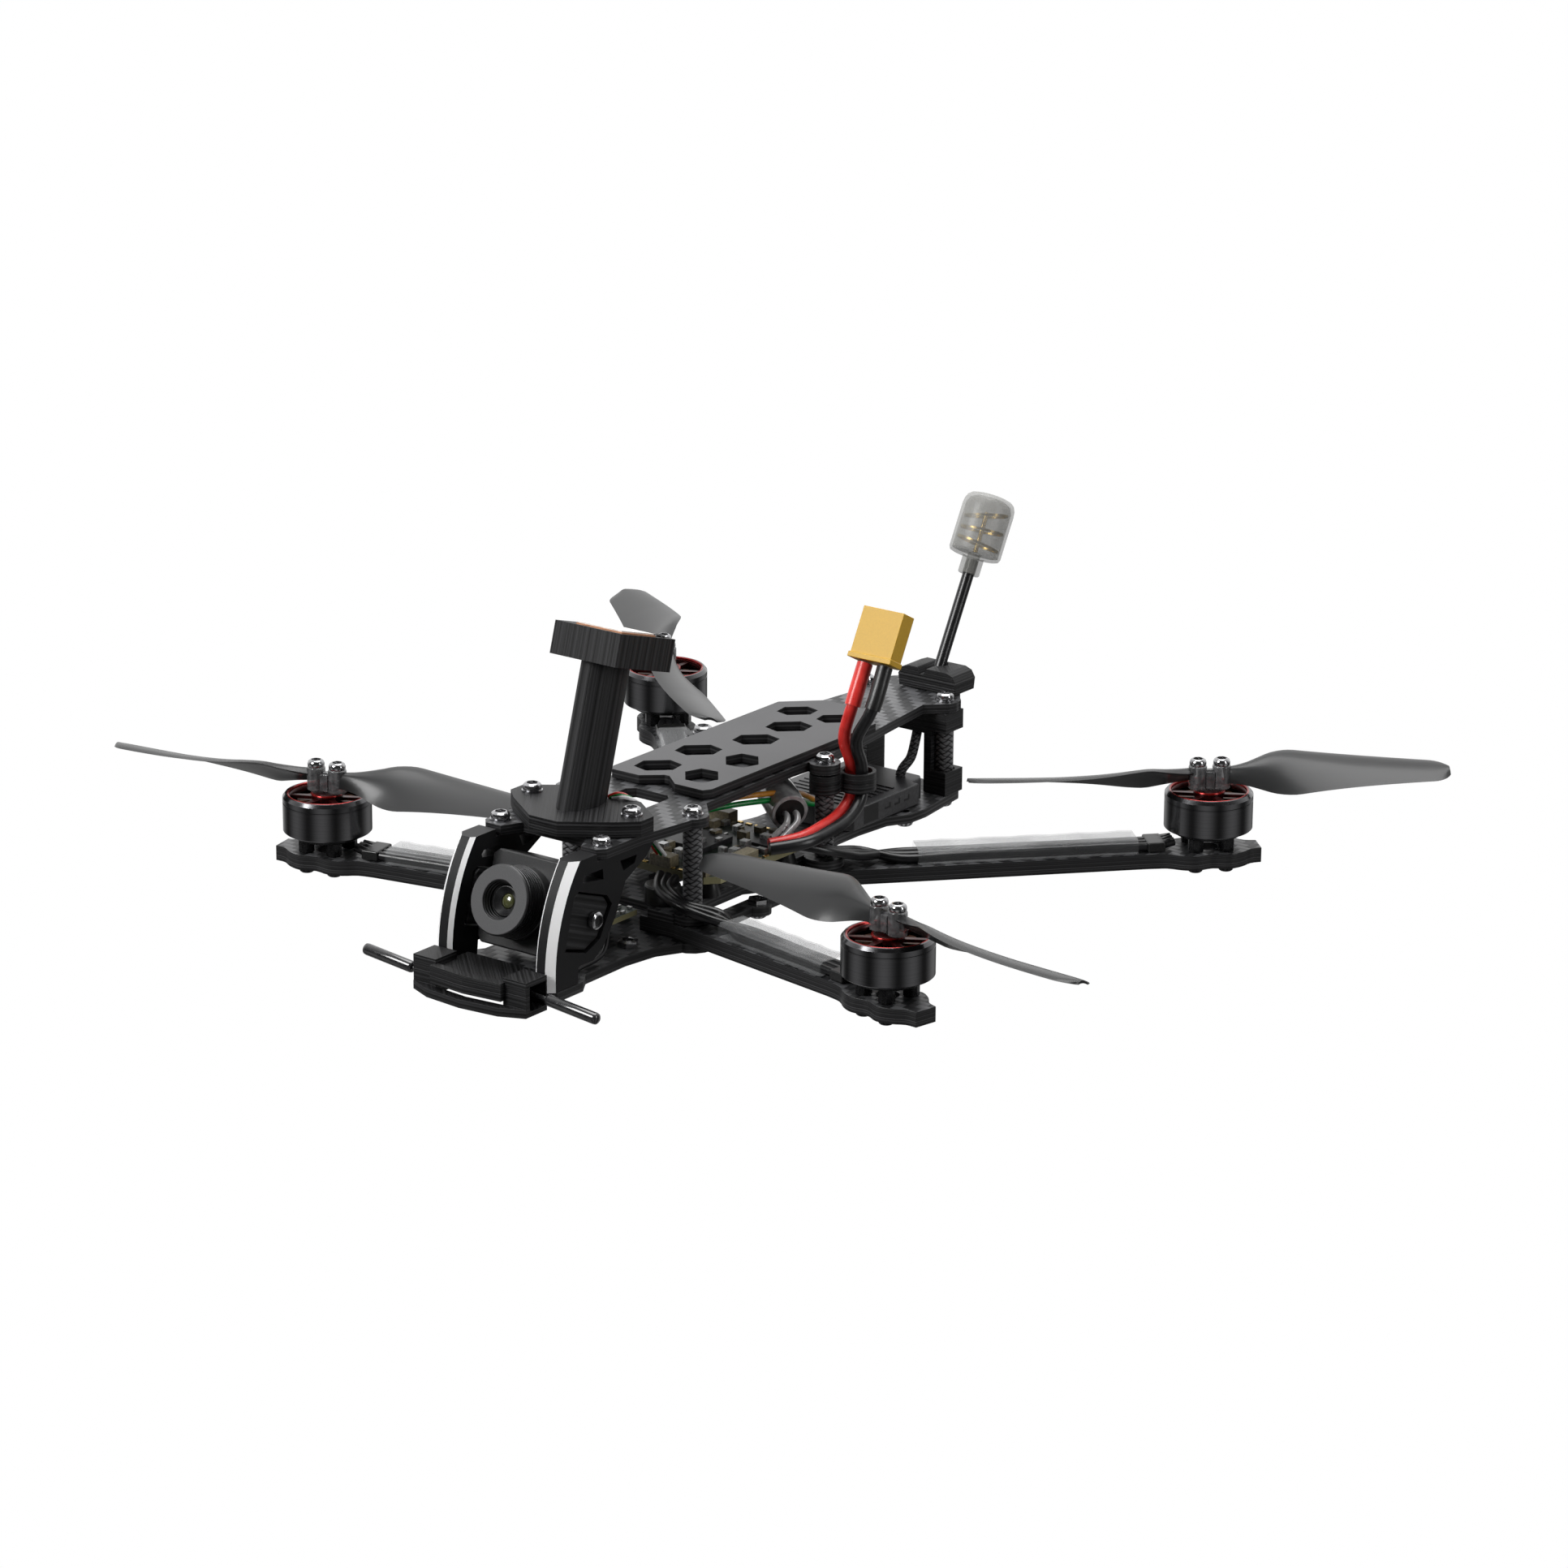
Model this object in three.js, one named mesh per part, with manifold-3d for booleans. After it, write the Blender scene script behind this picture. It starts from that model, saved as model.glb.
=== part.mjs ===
// Four inch long range quadcopter drone: carbon frame, camera cage, four motors with two-blade
// propellers, receiver, positioning module, video transmitter and battery lead.
// Millimetres, +Z up, nose towards -Y. The origin is on the underside of the bottom plate,
// midway between the four motors.
import * as THREE from 'three';
import { mergeVertices } from 'three/addons/utils/BufferGeometryUtils.js';
import Module from 'manifold-3d';

const wasm = await Module();
wasm.setup();

// Driving dimensions
const motorX = 71.7;
const motorY = 57;
const seat = 0.1;
const clearance = 0.3;
const plateThickness = 2;
const armThickness = 3.2;
const armBottom = plateThickness + seat;
const armTop = armBottom + armThickness;
const midBottom = armTop + seat;
const midTop = midBottom + plateThickness;
const deckHeight = 27.7;
const deckBottom = deckHeight - plateThickness;
const padTop = 29.9;
const screwHoleRadius = 1.1;

const frontPost = { x: 15.5, y: -46 };
const middlePost = { x: 15.75, y: -2 };
const rearPost = { x: 10.43, y: 48.2 };
const posts = { front: frontPost, middle: middlePost, rear: rearPost };
const postRadius = 2;

const frontArmRoot = { x: 15.5, y: -45.3 };
const rearArmRoot = { x: 15.75, y: -1.2 };
const footCircle = 4.6;
const footRadius = 1.6;

const bellRadius = 9.25;
const bellBottom = 9.7;
const bellTop = 17.8;
const propRadius = 50.8;
const propBottom = 18.1;
const propTop = 23.1;
const bladeLevel = 20.9;
const propScrewSpacing = 5;

const cageInner = 10.6;
const cageOuter = 15;
const cageArc = { y: -52.5, z: 4.6, radius: 38 };
const pivot = { y: -76.7, z: 13.8 };
const cameraTilt = 20;
const cameraWidth = 19;
const lensReach = 12.1;

const gpsLean = 16.5;
const antennaRoot = { x: 3.7, y: 55.3, z: 31.5 };
const antennaLean = 29;
const leadConnector = { x: 21, y: 8.1, z: 47.3, lean: 28 };
const clipRing = { x: 20, y: 3.7 };
const leadRadius = 1.3;

const degrees = Math.PI / 180;
const turnSides = 16;
const holeSides = 8;

const finishes = {
  carbon: { color: 0x1d1e20, roughness: 0.45, metalness: 0.1 },
  padPlate: { color: 0x4a4b4d, roughness: 0.55, metalness: 0.0 },
  printed: { color: 0x17181a, roughness: 0.6, metalness: 0.0 },
  anodised: { color: 0x141517, roughness: 0.35, metalness: 0.7 },
  braided: { color: 0x101112, roughness: 0.5, metalness: 0.2 },
  gunmetal: { color: 0x3a3a3c, roughness: 0.25, metalness: 0.9 },
  blackMetal: { color: 0x0c0c0d, roughness: 0.35, metalness: 0.8 },
  steel: { color: 0xc8c8cc, roughness: 0.15, metalness: 1.0 },
  smokedBlade: { color: 0x3b3c3e, roughness: 0.3, metalness: 0.0, transparent: true, opacity: 0.85 },
  clear: { color: 0xd8d8da, roughness: 0.1, metalness: 0.0, transparent: true, opacity: 0.35 },
  glass: { color: 0x0a0c10, roughness: 0.05, metalness: 0.0 },
  board: { color: 0x2b3a30, roughness: 0.5, metalness: 0.1 },
  ceramic: { color: 0xb9b4ab, roughness: 0.5, metalness: 0.0 },
  sleeveGrey: { color: 0x8d8e90, roughness: 0.3, metalness: 0.3 },
  yellow: { color: 0xd9a52f, roughness: 0.45, metalness: 0.0 },
  red: { color: 0xc02a24, roughness: 0.5, metalness: 0.0 },
  black: { color: 0x0f1011, roughness: 0.5, metalness: 0.0 },
};

const drone = new THREE.Group();

function addPart(name, geometry, finish, parent = drone) {
  const mesh = new THREE.Mesh(geometry, new THREE.MeshStandardMaterial(finishes[finish]));
  mesh.name = name;
  parent.add(mesh);
  return mesh;
}

// Solids: closed geometries go through manifold-3d only to be joined and cut.
function toSolid(geometry) {
  const plain = geometry.clone();
  plain.deleteAttribute('normal');
  plain.deleteAttribute('uv');
  const merged = mergeVertices(plain, 1e-4);
  const source = merged.index.array;
  const triangles = [];
  for (let i = 0; i < source.length; i += 3) {
    const [a, b, c] = [source[i], source[i + 1], source[i + 2]];
    if (a !== b && b !== c && c !== a) triangles.push(a, b, c);
  }
  return new wasm.Manifold(new wasm.Mesh({
    numProp: 3,
    vertProperties: new Float32Array(merged.attributes.position.array),
    triVerts: new Uint32Array(triangles),
  }));
}

function toGeometry(solid) {
  const mesh = solid.getMesh();
  const geometry = new THREE.BufferGeometry();
  geometry.setAttribute('position', new THREE.BufferAttribute(mesh.vertProperties, 3));
  geometry.setIndex(new THREE.BufferAttribute(mesh.triVerts, 1));
  geometry.computeVertexNormals();
  return geometry;
}

function join(...geometries) {
  return toGeometry(geometries.map(toSolid).reduce((sum, next) => sum.add(next)));
}

function cut(body, ...tools) {
  return toGeometry(tools.map(toSolid).reduce((rest, tool) => rest.subtract(tool), toSolid(body)));
}

function common(first, second) {
  return toGeometry(toSolid(first).intersect(toSolid(second)));
}

function shapeOf(points) {
  return new THREE.Shape(points.map(([x, y]) => new THREE.Vector2(x, y)));
}

// A flat plate with a vertical edge between two levels.
function plate(shape, bottom, top) {
  const outline = shape instanceof THREE.Shape ? shape : shapeOf(shape);
  const geometry = new THREE.ExtrudeGeometry(outline, { depth: top - bottom, bevelEnabled: false });
  return geometry.translate(0, 0, bottom);
}

// A plate outline that is the same on both sides of the centreline, from its +X half.
function bothSides(half) {
  const mirrored = half.filter(([x]) => x > 0).map(([x, y]) => [-x, y]).reverse();
  return [...half, ...mirrored];
}

function disc(x, y, radius, bottom, top, segments = turnSides) {
  const geometry = new THREE.CylinderGeometry(radius, radius, top - bottom, segments);
  return geometry.rotateX(Math.PI / 2).translate(x, y, (top + bottom) / 2);
}

function block(x0, x1, y0, y1, z0, z1) {
  const geometry = new THREE.BoxGeometry(x1 - x0, y1 - y0, z1 - z0);
  return geometry.translate((x0 + x1) / 2, (y0 + y1) / 2, (z0 + z1) / 2);
}

// A side panel: its outline lies in the YZ plane and it is thick along X.
function sidePanel(points, x0, x1) {
  const geometry = new THREE.ExtrudeGeometry(shapeOf(points), { depth: x1 - x0, bevelEnabled: false });
  return geometry.rotateY(Math.PI / 2).rotateX(Math.PI / 2).translate(x0, 0, 0);
}

// A turned piece about +Z from [radius, height] points.
function turned(profile, segments = turnSides) {
  return new THREE.LatheGeometry(profile.map(([r, z]) => new THREE.Vector2(r, z)), segments)
    .rotateX(Math.PI / 2);
}

function mirrorX(geometry) {
  const copy = geometry.clone().scale(-1, 1, 1);
  const index = copy.index.array;
  for (let i = 0; i < index.length; i += 3) {
    const first = index[i];
    index[i] = index[i + 1];
    index[i + 1] = first;
  }
  return copy;
}

// Both copies of something that stands at +x and -x.
function pair(x, y, make) {
  return [make(x, y), make(-x, y)];
}

const frontScrew = { x: 12.84, y: -71.8 };
const gpsScrew = { x: 12.67, y: -62 };

function makeBottomPlate() {
  const half = [
    [0, -90.5], [12, -90.5], [15, -88.5], [15, -80.5], [12.8, -77], [12.6, -64], [13.8, -56],
    [16.6, -50.8], [14.6, -38], [14.4, -26], [14.4, -12], [12, 4], [9, 10.5], [0, 11],
  ];
  const body = join(
    plate(bothSides(half), 0, plateThickness),
    ...pair(frontPost.x, frontPost.y, (x, y) => disc(x, y, 5, 0, plateThickness)),
    ...pair(middlePost.x, middlePost.y, (x, y) => disc(x, y, 5, 0, plateThickness)),
    ...pair(13.6, -22, (x, y) => disc(x, y, 3, 0, plateThickness)),
  );
  const window = [
    [4.6, -32], [6.5, -35], [9.4, -35], [10.6, -32], [10.6, -15], [9.4, -12], [6.5, -12], [4.6, -15],
  ];
  const holes = [frontPost, middlePost, { x: 13.8, y: -22 }, { x: 8.8, y: -58.5 }, { x: 4.4, y: -66 }];
  return cut(
    body,
    plate(window, -1, 3),
    plate(window.map(([x, y]) => [-x, y]).reverse(), -1, 3),
    ...holes.flatMap(({ x, y }) => pair(x, y, (px, py) => disc(px, py, screwHoleRadius, -1, 3, holeSides))),
  );
}

function makeMidPlate() {
  const half = [
    [0, -47.5], [6, -47.5], [7.5, -50.5], [14, -50.4], [13, -40], [12.6, -10], [12, 4], [10.6, 10],
    [10.6, 18], [11.4, 26], [14.2, 31], [14.4, 36], [12.4, 51], [9, 53.4], [0, 52.4],
  ];
  const body = join(
    plate(bothSides(half), midBottom, midTop),
    ...pair(frontPost.x, frontPost.y, (x, y) => disc(x, y, 4.2, midBottom, midTop)),
    ...pair(middlePost.x, middlePost.y, (x, y) => disc(x, y, 4.2, midBottom, midTop)),
  );
  const cableSlot = [[-5, -34], [-3, -37], [3, -37], [5, -34], [5, -14], [3, -11], [-3, -11], [-5, -14]];
  const holes = [frontPost, middlePost, rearPost, { x: 11.8, y: 32 }];
  return cut(
    body,
    plate(cableSlot, midBottom - 1, midTop + 1),
    ...holes.flatMap(({ x, y }) => pair(
      x, y, (px, py) => disc(px, py, screwHoleRadius, midBottom - 1, midTop + 1, holeSides),
    )),
  );
}

function makeTopPlate() {
  const half = [
    [0, -70.4], [8, -70.4], [10.2, -74.9], [14, -75], [15.4, -73.4], [15.6, -62], [17.4, -49.5],
    [17.6, -43.5], [13.2, -38.5], [13, -9], [13.8, 2.6], [11.2, 24], [8.7, 42.6],
    [12.8, 46.4], [13.2, 50.2], [12, 51.6], [7.6, 57.8], [0, 57.8],
  ];
  const body = join(
    plate(bothSides(half), deckBottom, deckHeight),
    ...pair(frontPost.x, frontPost.y, (x, y) => disc(x, y, 3.3, deckBottom, deckHeight)),
    ...pair(middlePost.x, middlePost.y, (x, y) => disc(x, y, 3.3, deckBottom, deckHeight)),
    ...pair(rearPost.x, rearPost.y, (x, y) => disc(x, y, 3, deckBottom, deckHeight)),
  );
  const wireWindow = [
    [-5.5, -53], [-4, -54.6], [4, -54.6], [5.5, -53], [5.5, -41], [4, -39.4], [-4, -39.4], [-5.5, -41],
  ];
  const strapSlot = [[-10.6, -22], [-9, -22], [-9, 10], [-10.6, 10]];
  const holes = [frontPost, middlePost, rearPost, frontScrew, gpsScrew];
  return cut(
    body,
    plate(wireWindow, deckBottom - 1, deckHeight + 1),
    plate(strapSlot, deckBottom - 1, deckHeight + 1),
    plate(strapSlot.map(([x, y]) => [-x, y]).reverse(), deckBottom - 1, deckHeight + 1),
    ...holes.flatMap(({ x, y }) => pair(
      x, y, (px, py) => disc(px, py, screwHoleRadius, deckBottom - 1, deckHeight + 1, holeSides),
    )),
  );
}

// Battery pad: eight stretched hexagon holes, slanted at 45 degrees, in two leaning rows.
function makeBatteryPad() {
  const bottom = deckHeight + clearance;
  const half = [[0, -34.4], [0.6, -34.4], [4.6, -37.8], [11.6, -37.8], [12.7, -36], [12.7, 20], [5.4, 27]];
  const hexagon = (x, y, turn, length, width) => {
    const corners = [[-0.5, 0], [-0.28, -0.5], [0.28, -0.5], [0.5, 0], [0.28, 0.5], [-0.28, 0.5]];
    const shape = corners.map(([u, v]) => [u * length, v * width]);
    return plate(shape, bottom - 1, padTop + 1)
      .rotateZ(turn * degrees).translate(x, y, 0);
  };
  const holes = [
    hexagon(-5.6, -30.2, 42, 9.8, 6.6), hexagon(-5.4, -17, 42, 9.8, 6.6), hexagon(-0.4, -4.1, 42, 9.8, 6.6),
    hexagon(-0.4, 7.3, 42, 9.8, 6.6), hexagon(-5.6, 17.2, 42, 8.6, 5.6), hexagon(5.6, -30.2, 128, 9.4, 6.6),
    hexagon(6, -17.2, 128, 9.4, 6.6), hexagon(3.8, 17.4, 42, 7.4, 5.4),
  ];
  return cut(plate(bothSides(half), bottom, padTop), ...holes);
}

// An arm in its own frame: the motor is at the origin and the arm runs back along -X.
// rootTurn turns the interlocking root block, which lies square to the frame.
function makeArm(length, heading, rootReach) {
  const lobes = [
    [-13, 3.8], [-9.4, 4.1], [-6.4, 5.7], [-3.4, 6.3], [0, 5.3],
    [3.4, 6.1], [6.4, 4.9], [8.6, 3.1], [11, 2.6],
  ];
  const edge = new THREE.SplineCurve(lobes.map(([x, y]) => new THREE.Vector2(x, y))).getPoints(24);
  const upper = [[-length, 5], [-length + 12, 4.6], ...edge.map(({ x, y }) => [x, y])];
  const outline = [...upper.map(([x, y]) => [x, -y]), ...upper.reverse()];
  const footSpots = [45, 135, 225, 315].map((turn) => [
    footCircle * Math.cos(turn * degrees), footCircle * Math.sin(turn * degrees),
  ]);
  const rootOutline = [[-rootReach, -4.6], [0.5, -4.6], [0.5, 4.6], [-rootReach, 4.6]];
  const rootBlock = plate(rootOutline, armBottom, armTop)
    .rotateZ(-heading * degrees).translate(-length, 0, 0);
  const body = join(
    plate(outline, armBottom, armTop),
    disc(-length, 0, 5, armBottom, armTop),
    rootBlock,
  );
  return cut(
    body,
    disc(0, 0, 2.3, 0, 8),
    disc(-length, 0, screwHoleRadius, 0, 8, holeSides),
    ...footSpots.map(([x, y]) => disc(x, y, screwHoleRadius, 0, 8, holeSides)),
  );
}

// Motor base: four feet, a base disc, a bearing tube and the wound core above it.
function makeStator() {
  const feet = [45, 135, 225, 315].map((turn) => disc(
    footCircle * Math.cos(turn * degrees), footCircle * Math.sin(turn * degrees),
    footRadius, armTop + seat, 9, holeSides,
  ));
  const body = join(
    ...feet,
    disc(0, 0, 7.2, 8.7, 9.9),
    disc(0, 0, 2.6, 9.5, 16, holeSides),
    disc(0, 0, 7.6, 10.9, 15.4),
    disc(0, 0, 5, 9.7, 11.2, holeSides),
  );
  return cut(body, disc(0, 0, 1.2, 5, 17, holeSides));
}

// Motor bell: magnet ring, six spokes, hub and shaft.
function makeBell() {
  const hubRadius = 3.4;
  const bellSides = 24;
  const ring = cut(
    turned([
      [0, bellBottom], [bellRadius, bellBottom], [bellRadius, bellTop - 0.7],
      [bellRadius - 0.7, bellTop], [0, bellTop],
    ], bellSides),
    disc(0, 0, 8.3, bellBottom - 1, 16.2, bellSides),
    turned([[0, 15], [7.2, 15], [7.9, bellTop + 0.1], [7.9, bellTop + 1], [0, bellTop + 1]], bellSides),
  );
  const spokes = [];
  for (let spoke = 0; spoke < 6; spoke += 1) {
    spokes.push(block(2, 7.8, -0.6, 0.6, 16.3, 17.2).rotateZ((spoke * 60 + 30) * degrees));
  }
  return join(ring, ...spokes, disc(0, 0, hubRadius, 16.3, 18), disc(0, 0, 0.75, 7, 17, holeSides));
}

// Propeller along its own X axis, turning anticlockwise seen from above when spin is 1.
function makePropeller(spin) {
  const stations = 13;
  const rootRadius = 3.2;
  const widest = 0.33;
  const tipStart = 0.92;
  const chordAt = (t) => {
    const rise = Math.min(1, t / widest);
    const fall = Math.max(0, (t - widest) / (1 - widest));
    const tip = Math.max(0, (t - tipStart) / (1 - tipStart));
    const full = 3.8 + 9 * rise * rise * (3 - 2 * rise) - 4.8 * fall ** 1.2;
    return full * Math.sqrt(1 - 0.84 * tip * tip);
  };
  const pitchAt = (radius) => Math.min(38, Math.atan2(9.5, radius) / degrees + 2);
  const sweepAt = (t) => 1.6 * Math.sin(Math.PI * t ** 0.8) - 0.6 * t;
  // Upper and lower surface points of a thin cambered section, nose first.
  const section = [
    [0.5, 0], [0.3, 0.72], [-0.1, 0.9], [-0.5, 0.12], [-0.5, -0.12], [-0.1, 0.12], [0.3, -0.16],
  ];
  const positions = [];
  for (let i = 0; i < stations; i += 1) {
    const t = 1 - (1 - i / (stations - 1)) ** 1.25;
    const radius = rootRadius + (propRadius - rootRadius) * t;
    const chord = chordAt(t);
    const thickness = 1.5 - 0.95 * Math.sqrt(t);
    const pitch = pitchAt(radius) * degrees;
    for (const [along, up] of section) {
      const a = along * chord;
      const b = up * thickness;
      const across = a * Math.cos(pitch) - b * Math.sin(pitch) + sweepAt(t);
      const height = a * Math.sin(pitch) + b * Math.cos(pitch);
      positions.push(radius, across * spin, bladeLevel + height);
    }
  }
  const count = section.length;
  const index = [];
  const addTriangle = (a, b, c) => (spin > 0 ? index.push(a, c, b) : index.push(a, b, c));
  for (let i = 0; i < stations - 1; i += 1) {
    for (let k = 0; k < count; k += 1) {
      const a = i * count + k;
      const b = i * count + (k + 1) % count;
      addTriangle(a, b + count, b);
      addTriangle(a, a + count, b + count);
    }
  }
  const last = (stations - 1) * count;
  for (let k = 1; k < count - 1; k += 1) {
    addTriangle(0, k, k + 1);
    addTriangle(last, last + k + 1, last + k);
  }
  const blade = new THREE.BufferGeometry();
  blade.setAttribute('position', new THREE.Float32BufferAttribute(positions, 3));
  blade.setIndex(index);
  const reach = propScrewSpacing / 2;
  return cut(
    join(
      blade,
      blade.clone().rotateZ(Math.PI),
      disc(reach, 0, 1.9, propBottom, propTop),
      disc(-reach, 0, 1.9, propBottom, propTop),
      block(-reach, reach, -1.5, 1.5, propBottom, propTop - 1),
    ),
    disc(reach, 0, 1.05, propBottom - 1, propTop + 1, holeSides),
    disc(-reach, 0, 1.05, propBottom - 1, propTop + 1, holeSides),
  );
}

// Three motor leads side by side on the arm, from the motor base inwards.
function makeMotorLeads(start, end) {
  const leads = [-1, 0, 1].map((lane) => {
    const wire = new THREE.CylinderGeometry(0.95, 0.95, end - start, 8);
    return wire.rotateY(Math.PI / 8).rotateZ(Math.PI / 2)
      .translate(-(start + end) / 2, lane * 1.7, armTop + clearance + 1);
  });
  return join(...leads);
}

// Clear flat tube over the motor leads.
function makeLeadSleeve(start, end) {
  const low = armTop + seat;
  const high = armTop + 3.3;
  return cut(
    block(-end, -start, -3.7, 3.7, low, high),
    block(-end - 1, -start + 1, -3.1, 3.1, low + 0.15, high - 0.5),
  );
}

// Four motors on their arms. x and y give the corner, spin the propeller's direction.
const corners = [
  { tag: 'front_left', x: -1, y: -1, spin: 1, blade: 11.6 },
  { tag: 'front_right', x: 1, y: -1, spin: -1, blade: -9 },
  { tag: 'rear_left', x: -1, y: 1, spin: -1, blade: -41.7 },
  { tag: 'rear_right', x: 1, y: 1, spin: 1, blade: 42.9 },
];

for (const corner of corners) {
  const root = corner.y < 0 ? frontArmRoot : rearArmRoot;
  const run = new THREE.Vector2(motorX - root.x, corner.y * motorY - root.y);
  const length = run.length();
  const heading = Math.atan2(run.y, run.x * corner.x);
  const arm = new THREE.Group();
  arm.position.set(corner.x * motorX, corner.y * motorY, 0);
  const armFrame = new THREE.Group();
  arm.add(armFrame);
  armFrame.rotation.z = heading;
  const rootReach = root.x - 5;
  const blockTurn = heading / degrees - (corner.x < 0 ? 180 : 0);
  addPart(`arm_${corner.tag}`, makeArm(length, blockTurn, rootReach), 'carbon', armFrame);
  addPart(`motor_stator_${corner.tag}`, makeStator(), 'blackMetal', armFrame);
  const sleeveEnd = corner.y < 0 ? 46 : 62;
  addPart(`motor_leads_${corner.tag}`, makeMotorLeads(9.6, length - 6), 'black', armFrame);
  addPart(`lead_sleeve_${corner.tag}`, makeLeadSleeve(15.5, sleeveEnd), 'clear', armFrame);
  addPart(`motor_bell_${corner.tag}`, makeBell(), 'gunmetal', arm);
  const propeller = addPart(`propeller_${corner.tag}`, makePropeller(corner.spin), 'smokedBlade', arm);
  propeller.rotation.z = corner.blade * degrees;
  drone.add(arm);
}

addPart('bottom_plate', makeBottomPlate(), 'carbon');
addPart('mid_plate', makeMidPlate(), 'carbon');
addPart('top_plate', makeTopPlate(), 'carbon');
addPart('battery_pad', makeBatteryPad(), 'padPlate');

for (const [place, spot] of Object.entries(posts)) {
  for (const [side, sign] of [['left', -1], ['right', 1]]) {
    const post = disc(sign * spot.x, spot.y, postRadius, midTop + seat, deckBottom - seat, 16);
    addPart(`standoff_${place}_${side}`, post, 'braided');
  }
}

// Camera cage: two side plates with a chamfered curved front edge, a window that holds the
// camera pad, and two small lightening windows.
const padWindow = [
  [-86, 9.6], [-83.1, 20.2], [-81.6, 21], [-72.8, 17.9], [-71.3, 15.8], [-75.2, 9.4], [-79.5, 7.7],
];

function makeCagePlate() {
  const { y, z, radius } = cageArc;
  const top = deckHeight - 0.5;
  const front = (height) => y - Math.sqrt(radius ** 2 - (height - z) ** 2);
  const outline = [];
  const steps = 14;
  for (let i = 0; i <= steps; i += 1) {
    const height = armBottom + (top - armBottom) * (i / steps);
    outline.push([front(height) - 1, height]);
  }
  outline.push(
    [-75.9, top], [-75.9, deckBottom - seat], [-57.5, deckBottom - seat], [-60, 22.9], [-67, 19.3],
    [-70.4, 12.5], [-73.8, 7.9], [-77.2, 5.6], [-81.8, 5.6], [-82.2, armBottom],
  );
  const rim = turned([
    [0, cageInner], [radius - 0.8, cageInner], [radius, cageInner + 0.8],
    [radius, cageOuter - 1.5], [radius - 1.5, cageOuter], [0, cageOuter],
  ], 96).rotateY(Math.PI / 2).translate(0, y, z);
  const window = (points) => sidePanel(points, cageInner - 1, cageOuter + 1);
  return cut(
    common(sidePanel(outline, cageInner, cageOuter), rim),
    window(padWindow),
    window([[-80.4, 23.1], [-79.7, 23.8], [-74.1, 23.7], [-73.9, 21.5], [-80.2, 22.4]]),
    window([[-68.6, 23.9], [-63.3, 23.8], [-64.1, 22.3], [-67.6, 21.6]]),
  );
}

// Camera side pad: fills the window of the cage plate and holds the pivot screw.
function makeCameraPad() {
  const centre = { y: -78.5, z: 14.3 };
  const fill = (scale) => padWindow.map(([y, z]) => [
    centre.y + (y - centre.y) * scale, centre.z + (z - centre.z) * scale,
  ]);
  const body = sidePanel(fill(0.93), cageInner - 0.3, cageOuter - 0.5);
  const hole = new THREE.CylinderGeometry(1.3, 1.3, 12, holeSides).rotateZ(Math.PI / 2)
    .translate(cageInner, pivot.y, pivot.z);
  return cut(body, hole);
}

function makePivotScrew() {
  return join(
    turned([[0, 0], [1.9, 0], [1.9, 0.7], [1.3, 1.3], [0, 1.3]]),
    disc(0, 0, 1, -6.3, 0.2, holeSides),
  ).rotateY(Math.PI / 2).translate(cageOuter - 0.2, pivot.y, pivot.z);
}

addPart('cage_plate_right', makeCagePlate(), 'anodised');
addPart('cage_plate_left', mirrorX(makeCagePlate()), 'anodised');
addPart('camera_pad_right', makeCameraPad(), 'printed');
addPart('camera_pad_left', mirrorX(makeCameraPad()), 'printed');
addPart('camera_screw_right', makePivotScrew(), 'steel');
addPart('camera_screw_left', mirrorX(makePivotScrew()), 'steel');

// Camera, tilted up on its pivot. In its own frame it looks along -Y.
const camera = new THREE.Group();
camera.position.set(0, pivot.y, pivot.z);
camera.rotation.x = -cameraTilt * degrees;
drone.add(camera);

function makeCameraHousing() {
  const halfWidth = cameraWidth / 2;
  const corner = 1.2;
  const inner = halfWidth - corner;
  const face = [
    [-halfWidth, -inner], [-inner, -halfWidth], [inner, -halfWidth], [halfWidth, -inner],
    [halfWidth, inner], [inner, halfWidth], [-inner, halfWidth], [-halfWidth, inner],
  ];
  const socket = new THREE.CylinderGeometry(1.3, 1.3, 3, holeSides).rotateZ(Math.PI / 2);
  return cut(
    plate(face, -6, 4.3).rotateX(Math.PI / 2),
    socket.clone().translate(halfWidth, 0, 0),
    socket.clone().translate(-halfWidth, 0, 0),
  );
}

function makeLensBarrel() {
  const back = 4.4;
  return turned([
    [0, back], [7.4, back], [7.4, 6.4], [7.1, 6.7], [7.1, lensReach - 0.4], [6.85, lensReach],
    [4, lensReach], [3.2, 9.6], [3.2, 8.4], [0, 8.4],
  ], turnSides).rotateX(Math.PI / 2);
}

function makeLensGlass() {
  const dome = [[0, 8.7], [2.8, 8.7], [2.8, 9.1], [2.3, 9.7], [1.3, 10.2], [0, 10.4]];
  return turned(dome, turnSides).rotateX(Math.PI / 2);
}

addPart('camera_housing', makeCameraHousing(), 'black', camera);
addPart('lens_barrel', makeLensBarrel(), 'black', camera);
addPart('lens_glass', makeLensGlass(), 'glass', camera);

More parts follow.
